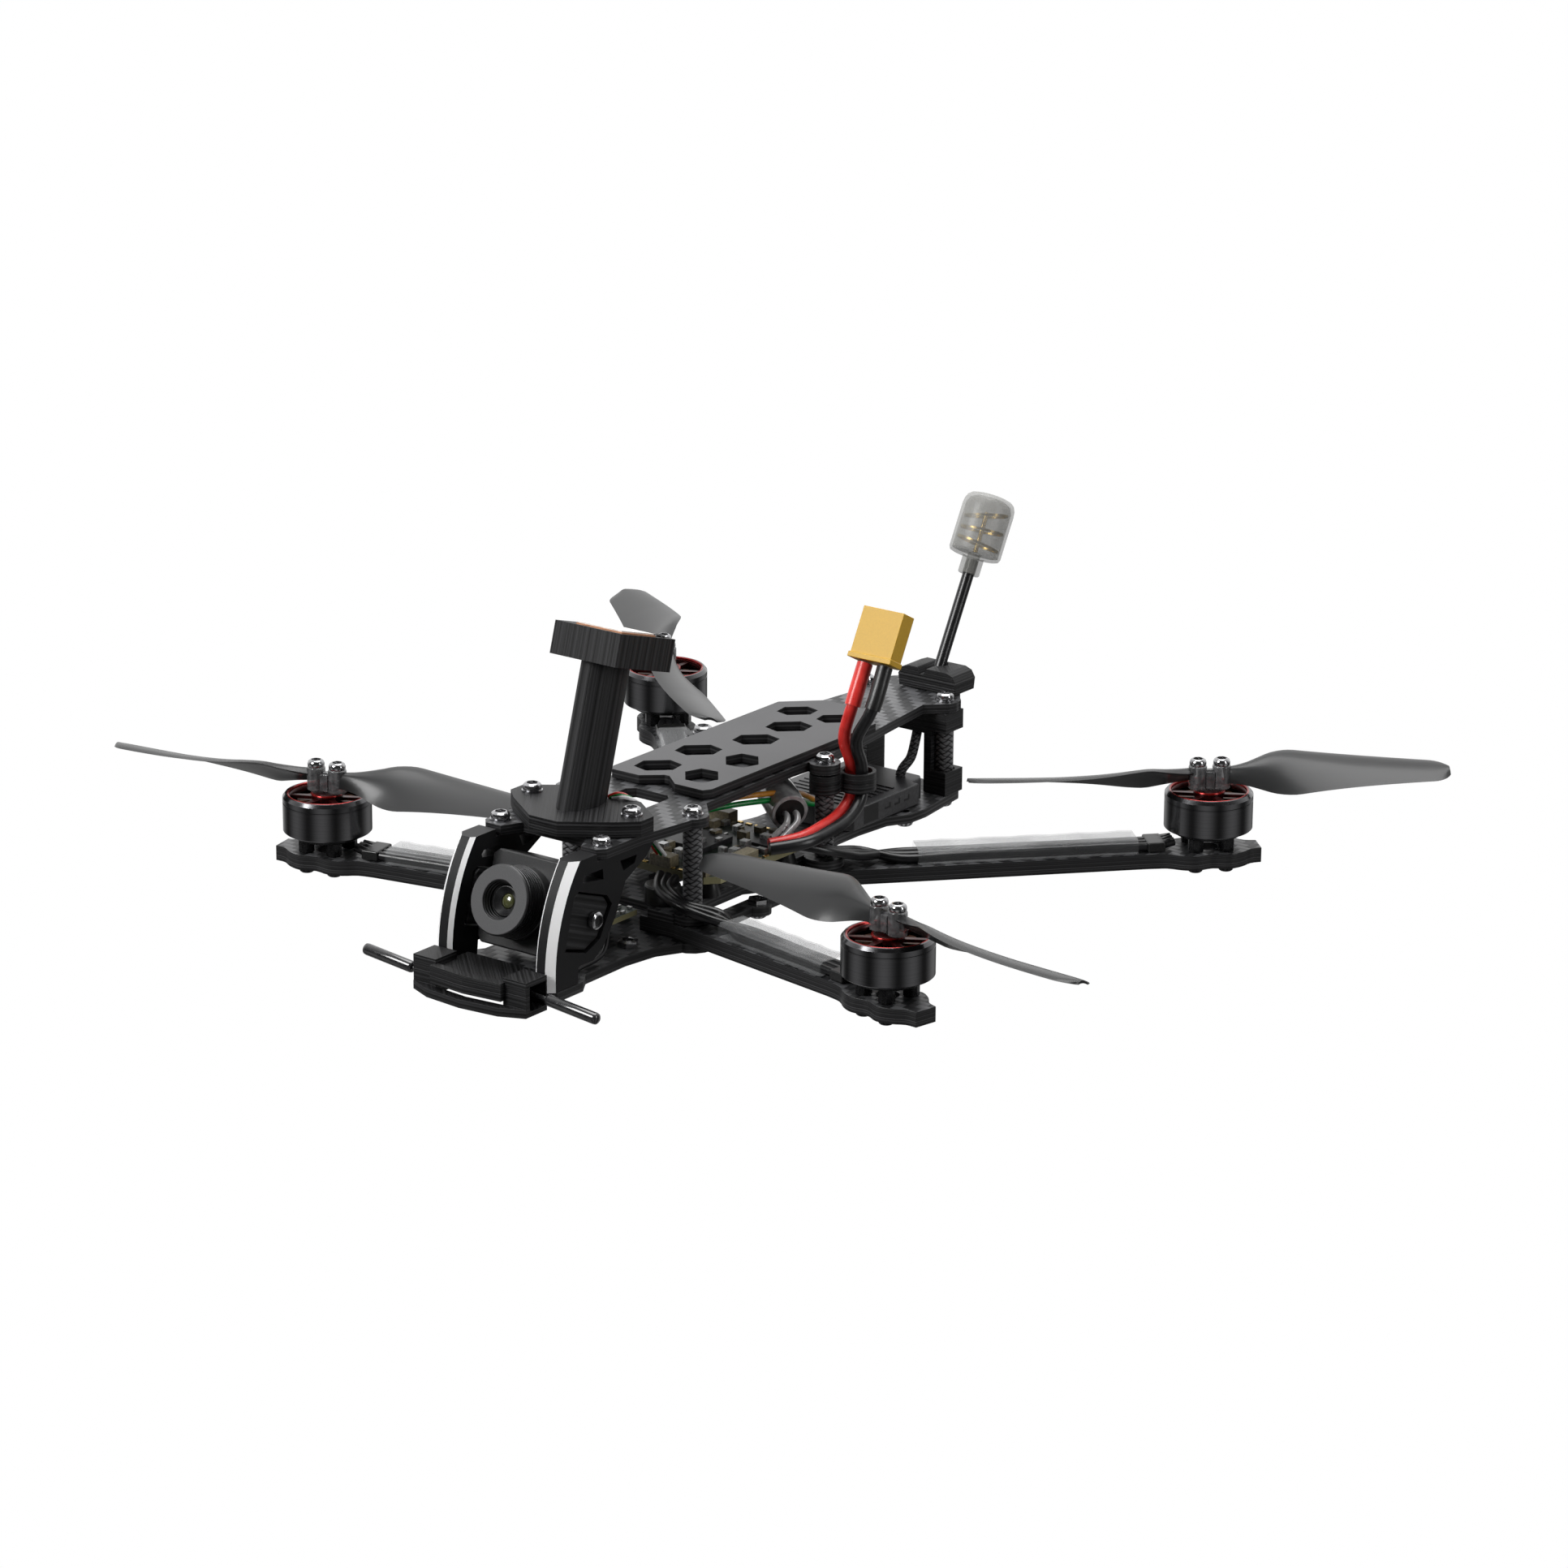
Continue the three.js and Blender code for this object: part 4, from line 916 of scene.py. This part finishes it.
def addMotorLeads(tag):
    spec = corners[tag]
    bell = middle("motor_bell_" + tag)
    home = shift(bell.x, bell.y, 0) @ lean(armAngle(tag), "Z")
    front = spec["y"] < 0
    look = leadLook["front" if front else "rear"]
    length, bends = look["length"], look["bends"]
    wires = Build()
    for lane in (-1, 0, 1):
        y = lane * leadLook["lane"]
        run = [(-7.6, y * 0.7, 7.2), (-10.5, y, 6.7), (-13, y, leadLook["height"])]
        for k in range(1, bends + 1):
            sway = 0.12 * math.sin(k * 2.1 + lane)
            run.append((-13 - (length - 28) * k / bends, y + sway, leadLook["height"]))
        route = [home @ Vector(point) for point in run]
        side = lane * spec["x"] * spec["y"]  # the lane that stays outermost all the way
        wires.tube(route + leadInside(tag, -side if front else side), leadLook["radius"], 12, 5)
    wires.finish("leads_" + tag, "siliconeBlack", replaces=("motor_leads_" + tag,), sharp=60)
    start, end = look["sleeve"]
    shell = Build(home)
    rings = []
    for k in range(17):
        x = -start - (end - start) * k / 16
        swell = 0.12 * math.sin(k * 1.9) * (0 if k in (0, 16) else 1)
        half, high = 3.75 + swell, 8.55 + swell * 0.5
        outline = [(-half, 5.5), (half, 5.5), (half, 7.9), (half - 0.7, high)]
        outline += [(-half + 0.7, high), (-half, 7.9)]
        rings.append([(x, y, z) for y, z in outline])
    inner = [[(x, y * 0.93, 5.62 if z < 5.6 else z - 0.22) for x, y, z in ring] for ring in rings]
    shell.rings(rings + inner[::-1], closed=True, capped=False)
    shell.finish("sleeve_" + tag, "clear", replaces=("lead_sleeve_" + tag,), bevel=0.12, sharp=25)
    tape = Build(home)
    tape.block((-13.4, -3.3, 5.5), (-9.6, 3.3, 7.6))
    tape.finish("lead_tape_" + tag, "rubber", bevel=0.35)


for tag in corners:
    addMotorLeads(tag)
print("motor leads and sleeves done")


# Screws through the plates

def addPlateScrews():
    deck = corner("top_plate", 1).z
    footTop = corner("gps_mount", 0).z + 3.2
    top, socketShadeBuild = Build(), Build()
    for x, y, z in (
        (12.84, -71.8, deck), (12.67, -62, footTop), (15.5, -46, deck), (15.75, -2, deck),
        (10.43, 48.2, deck),
    ):
        for side in (-1, 1):
            spot = shift(side * x, y, z + 0.02)
            top.lathe([(0, 0), (2.15, 0), (2.15, 0.3), (0, 0.3)], spot, 36)
            screwHead(top, socketShadeBuild, spot @ shift(0, 0, 0.3))
    top.finish("plate_screws", "steel")
    under = Build()
    for x, y in ((15.5, -46), (15.75, -2), (13.8, -22)):
        for side in (-1, 1):
            screwHead(under, socketShadeBuild, shift(side * x, y, -0.02) @ lean(180), 1.8, 0.95)
    for side in (-1, 1):
        for x, y in ((10.43, 48.2), (11.8, 32)):
            screwHead(under, socketShadeBuild, shift(side * x, y, 5.38) @ lean(180), 1.8, 1.1)
    under.finish("under_screws", "steel")
    socketShadeBuild.finish("plate_socket_shade", "socket")
    nuts = Build()
    for x, y in ((8.8, -58.5), (13.8, -22)):
        for side in (-1, 1):
            nuts.lathe([(0, 0, 6), (1.9, 0, 6), (1.9, 1.1, 6), (1.05, 1.3), (1.0, 0.5), (0, 0.5)],
                       shift(side * x, y, 2.02), 36)
    nuts.finish("plate_nuts", "steel")


addPlateScrews()


# Camera: housing, barrel with a grey ring, glass, and the pivot screws

cameraLook = {"tilt": 20, "reach": 12.1, "ribs": 6, "threads": 4}


def addCamera():
    pivot = middle("camera_screw_right")
    home = shift(0, pivot.y, pivot.z) @ lean(-cameraLook["tilt"]) @ lean(90)
    soften("camera_housing", "blackPlastic", "camera", bevel=0.7, steps=4)
    reach = cameraLook["reach"]
    profile = [(0, 4.4), (7.4, 4.4), (7.4, 6.4)]
    for k in range(cameraLook["ribs"]):
        z = 6.6 + k * 0.8
        profile += [(7.15, z), (7.15, z + 0.45), (7.0, z + 0.5), (7.0, z + 0.75)]
    profile += [(7.1, reach - 0.35), (6.9, reach - 0.1), (4.0, reach - 0.1)]
    for k in range(cameraLook["threads"]):
        r, z = 3.98 - k * 0.2, reach - 0.45 - k * 0.62
        profile += [(r, z + 0.12), (r - 0.16, z), (r - 0.17, z - 0.3)]
    profile += [(3.0, 8.5), (0, 8.45)]
    turned("lens_barrel_turned", "blackPlastic", profile, home, 96, body="camera",
           replaces=("lens_barrel",), sharp=25)
    turned("lens_ring", "greyRing", [
        (4.02, reach - 0.3), (6.84, reach - 0.3), (6.84, reach - 0.05), (6.75, reach), (4.15, reach),
        (4.02, reach - 0.08),
    ], home, 96, True, body="camera", sharp=25)
    turned("lens_front", "lens", [
        (0, 8.6), (1.5, 8.6), (1.5, 8.95), (1.2, 9.2), (0.65, 9.4), (0, 9.46),
    ], home, body="camera", replaces=("lens_glass",), sharp=60)
    turned("lens_cone", "blackPlastic", [
        (1.55, 8.55), (2.98, 8.55), (2.98, 10.0), (2.8, 10.02), (2.2, 9.45), (1.58, 9.05),
    ], home, 64, True, body="camera", sharp=30)
    for side, sign in (("left", -1), ("right", 1)):
        seat = shift(sign * 14.55, pivot.y, pivot.z) @ lean(90 * sign, "Y")
        head, socketShadeBuild = Build(seat), Build(seat)
        screwHead(head, socketShadeBuild, shift(0, 0, 0.05), 1.9, 1.45)
        head.lathe([(0, -6.2), (0.95, -6.2), (0.95, 0.1), (0, 0.1)], sides=20)
        head.finish("pivot_screw_" + side, "steel", "camera", ("camera_screw_" + side,))
        socketShadeBuild.finish("pivot_socket_shade_" + side, "socket", "camera")


addCamera()
print("camera done")


# Receiver dipole on the bumper

def addDipole():
    for side, start, swing in (("left", (-17.4, -93.6, 1.6), 185.9), ("right", (16.6, -93.6, 2.5), 5.9)):
        node = "dipole_arm_" + side
        turned(node + "_rod", "rod", [
            (0, -4.9), (0.5, -4.8), (0.5, -0.1), (0.75, 0), (1.1, 0.2), (1.2, 0.6), (1.2, 11.9),
            (1.1, 12.4), (0.75, 12.7), (0, 12.8),
        ], shift(*start) @ lean(swing, "Y") @ lean(90, "Y"), 32, replaces=(node,), sharp=50)


addDipole()


# Positioning module: a patch on a copper edged board in the tray of its mount

gpsLook = {"lean": 16.5, "foot": (-62.1, 31.2), "reach": 27.2}


def addGps():
    y, z = gpsLook["foot"]
    home = shift(0, y + 8.1, z + gpsLook["reach"]) @ lean(-gpsLook["lean"])
    base = Build(home)
    base.block((-4.2, -6.5, 5.5), (7.4, 4.7, 7.0))
    base.finish("gps_board", "copper", replaces=("gps_module",), bevel=0.12)
    patch = Build(home)
    patch.block((-3.9, -6.2, 6.98), (7.1, 4.4, 7.3))
    patch.lathe([(0, 7.2), (0.7, 7.2), (0.6, 7.42), (0, 7.45)], shift(1.8, -1, 0), 20)
    patch.finish("gps_patch", "ceramic", bevel=0.08)
    screw, socketShadeBuild = Build(home), Build(home)
    screwHead(screw, socketShadeBuild, shift(6.0, 7.6, 6.65), 1.35, 0.55)
    screw.finish("gps_screw", "blackMetal")
    socketShadeBuild.finish("gps_socket_shade", "socket")
    for k, look in enumerate(("siliconeRed", "siliconeGreen", "siliconeWhite")):
        wired("gps_wire_" + str(k), look, [
            (2.2 + k * 0.5, -56.2, 31.4), (3.8 + k, -55.6, 32.2 - k * 0.2),
            (5.2 + k * 1.1, -54.2, 31.6 - k * 0.3), (5.4 + k, -52.6, 29.4),
            (4.6 + k * 0.8, -50.0, 25.8), (4 + k * 0.8, -46.5, 21), (3.4 + k, -42, 16),
        ], 0.42, 10, 6)


addGps()
print("positioning module done")


# Antenna: stem, collar and a frosted cap with its gold lobes inside

antennaLook = {"lean": 29, "root": (3.7, 55.3, 31.5), "foot": 21.6, "base": 25.7, "top": 39.1}


def addAntenna():
    home = Matrix.Translation(antennaLook["root"]) @ lean(-antennaLook["lean"])
    foot, base, top = antennaLook["foot"], antennaLook["base"], antennaLook["top"]
    turned("antenna_rod", "siliconeBlack", [
        (0, -2.95), (1.25, -2.95), (1.25, 24.8), (0, 24.9),
    ], home, 32, replaces=("antenna_stem",))
    turned("antenna_shell", "frost", [
        (1.4, foot), (2.2, foot), (2.35, foot + 0.2), (2.35, base - 0.3), (2.6, base), (4.9, base),
        (5.45, base + 0.2), (5.7, base + 0.8), (5.71, top - 3), (5.57, top - 1.8), (5.15, top - 0.85),
        (4.5, top - 0.3), (3.5, top - 0.02), (0, top), (0, top - 0.6), (3.2, top - 0.62),
        (4.5, top - 1.3), (5.05, top - 2.6), (5.1, base + 0.8), (1.4, base + 0.7),
    ], home, 64, True, replaces=("antenna_cap",), sharp=40)
    lobes = Build(home)
    for k, z in enumerate((28.5, 31.5, 34.8)):
        ring = shift(0, 0, z) @ lean(8 - k * 9, "Y") @ lean(6 * k, "X")
        lobes.lathe([(4.2, -0.25), (4.75, -0.25), (4.75, 0.25), (4.2, 0.25)], ring, closed=True)
    lobes.lathe([(0, 26.6), (0.5, 26.6), (0.5, 35.5), (0, 35.5)], sides=16)
    lobes.finish("antenna_lobes", "brass")


addAntenna()


# Electronics

def scatter(build, rng, count, low, high, level, sizes):
    # small parts laid out without touching: each has its own size from the list
    taken = []
    for _ in range(count * 12):
        if len(taken) >= count:
            break
        w, d, h = rng.choice(sizes)
        if rng.random() < 0.5:
            w, d = d, w
        x = rng.uniform(low[0] + w / 2, high[0] - w / 2)
        y = rng.uniform(low[1] + d / 2, high[1] - d / 2)
        gap = 0.15
        if any(abs(x - a) < (w + c) / 2 + gap and abs(y - b) < (d + e) / 2 + gap for a, b, c, e in taken):
            continue
        taken.append((x, y, w, d))
        build.block((x - w / 2, y - d / 2, level), (x + w / 2, y + d / 2, level + h))


def addFlightController():
    low = corner("flight_controller", 0)
    level = low.z + 1.6
    posts = [(x, y) for x in (-12.75, 12.75) for y in (-36.75, -11.25)]
    board = Build()
    board.prism([
        (-16.5, -38), (-14, -40.5), (14, -40.5), (16.5, -38), (16.5, -10), (14, -7.5), (-14, -7.5),
        (-16.5, -10),
    ], low.z, level)
    board.finish("controller_board", "boardGreen", replaces=("flight_controller",), bevel=0.08)
    chips = Build()
    chips.block((-5, -29, level), (5, -19, level + 1.1))
    chips.block((-13.5, -24, level), (-9, -19, level + 1.2))
    for k in range(4):
        for side in (-1, 1):
            x, y = side * 12, -36 + k * 5.6
            for under, over in ((level, level + 1.0), (low.z - 1, low.z)):
                chips.block((x - 2.1, y, under), (x + 2.1, y + 4, over))
    chips.finish("controller_chips", "chip", bevel=0.08)
    rng = random.Random(11)
    for name, look, sizes in (
        ("controller_passives", "tin", [(1.1, 0.6, 0.5), (1.6, 1.2, 1.5), (2.2, 1.2, 1.1), (1.8, 1.8, 1.9)]),
        ("controller_caps", "beige", [(1.2, 0.8, 0.9), (2.4, 1.4, 1.6), (2.0, 1.8, 1.2)]),
    ):
        parts = Build()
        scatter(parts, rng, 34, (-16, -40, 0), (16, -8, 0), level, sizes)
        scatter(parts, rng, 14, (-16, -40, 0), (16, -8, 0), low.z - 0.6, sizes)
        parts.finish(name, look, bevel=0.05)
    pads = Build()
    for k in range(12):
        for side in (-1, 1):
            for x, y, w, d in (
                (side * 16.1, -36.3 + k * 2.3, 0.4, 0.7), (-12.9 + k * 2.3, side * 15.9 - 24, 0.7, 0.4),
            ):
                pads.block((x - w, y - d, level - 0.02), (x + w, y + d, level + 0.25))
    pads.finish("controller_pads", "brass", bevel=0.06)
    plugs = Build()
    for x, y, heading in (
        (12, -39, 0), (-12, -39, 0), (3, -39.2, 0), (-5, -9, 0), (15, -28, 90), (-15, -28, 90),
    ):
        spot = shift(x, y, level) @ lean(heading, "Z")
        plugs.block((-2.6, -1.5, 0), (2.6, 1.5, 2.4), spot)
    plugs.finish("controller_plugs", "beige", bevel=0.12)
    feet = Build()
    for x, y in posts:
        feet.lathe([
            (0, 7.5), (2.1, 7.5), (2.3, 8), (1.6, 10.4), (2.3, 10.8), (2.4, 11.0), (1.5, 11.2),
            (1.5, level), (2.3, level + 0.1), (2.2, level + 0.9), (0, level + 1),
        ], shift(x, y, 0), 28)
    feet.finish("controller_grommets", "rubber", sharp=40)
    nuts = Build()
    nut = [(0, 0, 6), (1.7, 0, 6), (1.7, 1.3, 6), (0.9, 1.4), (0.9, 2.2), (0, 2.2)]
    for x, y in posts:
        nuts.lathe(nut, shift(x, y, level + 1), 24)
    nuts.finish("stack_nuts", "steel")
    turned("buzzer", "rubber", [
        (0, 0), (3.6, 0), (3.7, 0.3), (3.7, 3.6), (3.4, 3.9), (1.2, 3.9), (1.0, 3.4), (0, 3.4),
    ], shift(7.5, -45.5, 7.5), 40, bevel=0.1)


def addReceiver():
    low, high = corner("receiver_board", 0), corner("receiver_board", 1)
    board = Build()
    board.block(low, high)
    board.finish("receiver_circuit", "boardGreen", replaces=("receiver_board",), bevel=0.08)
    parts = Build()
    rng = random.Random(5)
    scatter(parts, rng, 14, low, high, high.z, [(1.1, 0.6, 0.5), (1.6, 1.0, 0.7), (2.4, 2.2, 0.8)])
    parts.finish("receiver_parts", "tin", bevel=0.05)
    x, y, z = high.x - 2.2, low.y + 2.4, high.z
    turned("receiver_plug", "brass", [
        (0, 0), (1.2, 0), (1.2, 0.9), (0.9, 1.2), (0.5, 1.2), (0.5, 0.8), (0, 0.8),
    ], shift(x, y, z), 24)
    wired("receiver_coax", "siliconeBlack", [  # low under the camera, clear of its tilt
        (x, y, z + 1.1), (high.x + 0.6, low.y - 2, z + 0.6), (10.2, -68, 3.6), (10.6, -76, 2.6),
        (10.7, -82, 2.6), (10.4, -86, 3.3), (9.6, -89.6, 5.0), (10.5, -92.3, 3.6), (12.4, -93.6, 2.9),
    ], 0.5, 10, 8)


def addTransmitter():
    low, high = corner("video_transmitter", 0), corner("video_transmitter", 1)
    soften("video_transmitter", "greyCase", bevel=0.25)
    lid = Build()
    half = [(9.4, 12.4), (11.2, 14.3), (11.2, 36.8), (9.6, 37.4), (9.6, 40.2), (8.4, 41.6)]
    lid.prism(half + [(-x, y) for x, y in reversed(half)], high.z - 0.15, high.z + 0.02)
    for k in range(9):
        y = 15.5 + k * 1.9
        lid.block((-9.5, y, high.z), (9.5, y + 0.8, high.z + 0.22))
    lid.finish("transmitter_lid", "chip", bevel=0.06)
    # painted shade: thin black sheets on the sides of the case stand for the dark insides of its slots
    slotShade = Build()
    for side in (-1, 1):
        slotShade.block((side * 11.62, 17.5, low.z + 0.6), (side * 11.84, 22.5, high.z - 0.3))
        for k in range(3):
            y = 25.0 + k * 3.4
            slotShade.block((side * 11.66, y, low.z + 2.0), (side * 11.84, y + 1.9, low.z + 2.45))
            slotShade.block((side * 11.66, y + 1.5, low.z + 2.4), (side * 11.84, y + 1.9, low.z + 3.2))
    slotShade.finish("transmitter_slot_shade", "rubber")
    wired("transmitter_coax", "coax", [
        (5.5, 39, high.z), (5.8, 39.6, high.z + 1.6), (6.0, 42.2, 15.6), (5.4, 44.6, 18.6), (4.4, 47, 21.2),
    ], 1.05, 14, 8)


def addCapacitor():
    axis = Vector((0.79, -0.54, -0.2)).normalized()
    home = Matrix.Translation((11.4, -8, 17.3)) @ axis.to_track_quat("Z", "Y").to_matrix().to_4x4()
    turned("capacitor_can", "sleeveGrey", [
        (0, -11.45), (3.2, -11.45), (3.8, -11.1), (3.98, -10.4), (3.98, -1.1), (3.85, -0.7), (3.98, -0.3),
        (3.8, -0.05), (3.2, 0), (0, 0),
    ], home, 64, replaces=("capacitor",), sharp=40)
    turned("capacitor_seal", "rubber", [(0, -0.1), (3.15, -0.1), (3.1, 0.12), (0, 0.15)], home)
    legs = Build()
    for k in (-1, 1):
        start = home @ Vector((k * 1.1, 0, 0))
        legs.tube([start, start + axis * 1.4, start + axis * 2.4 + Vector((0, -1, -1.0)),
                   Vector((12.8 + k, -14.6, 13.6))], 0.7, 12, 6)
    legs.finish("capacitor_legs", "sleeveGrey", sharp=60)


def addLooseWires():
    for k, (look, lift) in enumerate((("siliconeGreen", 0.0), ("siliconeOrange", 1.5))):
        wired("signal_wire_" + str(k), look, [
            (-8, -36, 15 + lift), (-3, -30, 18.6 + lift), (3, -20, 20 + lift), (7, -10, 19.6 + lift),
            (8, -2, 18 + lift), (6.5, 5, 15 + lift), (5, 11, 13),
        ], 0.6, 12, 6)


addFlightController()
addReceiver()
addTransmitter()
addCapacitor()
addLooseWires()
print("electronics done")


# Studio

def addStage(name, points, faces):  # a plain white sheet that only the camera sees
    white = bpy.data.materials.new(name)
    white.use_nodes = True
    network = Network(white.node_tree)
    nodeSet = network.tree.nodes
    nodeSet.remove(nodeSet["Principled BSDF"])
    network.put(nodeSet["Material Output"].inputs["Surface"], network.node("Emission"))
    data = bpy.data.meshes.new(name)
    data.from_pydata(points, [], faces)
    data.materials.append(white)
    sheet = bpy.data.objects.new(name, data)
    bpy.context.scene.collection.objects.link(sheet)
    sheet.visible_glossy = sheet.visible_diffuse = sheet.visible_shadow = False
    sheet.visible_transmission = False


def addSky():
    world = bpy.data.worlds.new("studioSky")
    bpy.context.scene.world = world
    world.use_nodes = True
    sky = Network(world.node_tree)
    where = sky.node("TexCoord", output="Generated")
    x, y, z = sky.axes(where)
    rise = sky.dot(where, (-0.56, 0.76, 0.33)).step(-0.1, 0.75)  # towards the side beyond the object
    above = rise * (studio["backSky"] - studio["frontSky"]) + studio["frontSky"]
    heading = y.maths("ARCTAN2", x)
    below = (heading * 5.0 + 0.9).maths("SINE") * 0.2 + 0.24  # soft bands round the lower half
    low = z.step(-0.02, -0.2)
    background = sky.tree.nodes["Background"]
    sky.put(background.inputs["Strength"], above * (1 - low) + below * low)
    sky.put(background.inputs["Color"], (1, 1, 1))


def addStudio():
    floor, reach, sides = studio["floor"], studio["reach"], studio["sides"]
    square = [(x * reach, y * reach, floor) for x, y in ((-1, -1), (1, -1), (1, 1), (-1, 1))]
    addStage("floor", square, [(0, 1, 2, 3)])
    ring = [(reach * math.cos(turn * k / sides), reach * math.sin(turn * k / sides)) for k in range(sides)]
    points = [(x, y, z) for z in (floor, reach) for x, y in ring] + [(0, 0, reach + 1)]
    wall = [(k, (k + 1) % sides, sides + (k + 1) % sides, sides + k) for k in range(sides)]
    roof = [(sides + k, sides + (k + 1) % sides, 2 * sides) for k in range(sides)]
    addStage("backdrop", points, wall + roof)
    for name, (place, power, width, height) in studio["lamps"].items():
        addSoftbox(name, place, power, width, height)
    addSky()
    bpy.context.scene.view_settings.view_transform = "Standard"
    bpy.context.scene.view_settings.look = "None"


addStudio()
print("studio done")
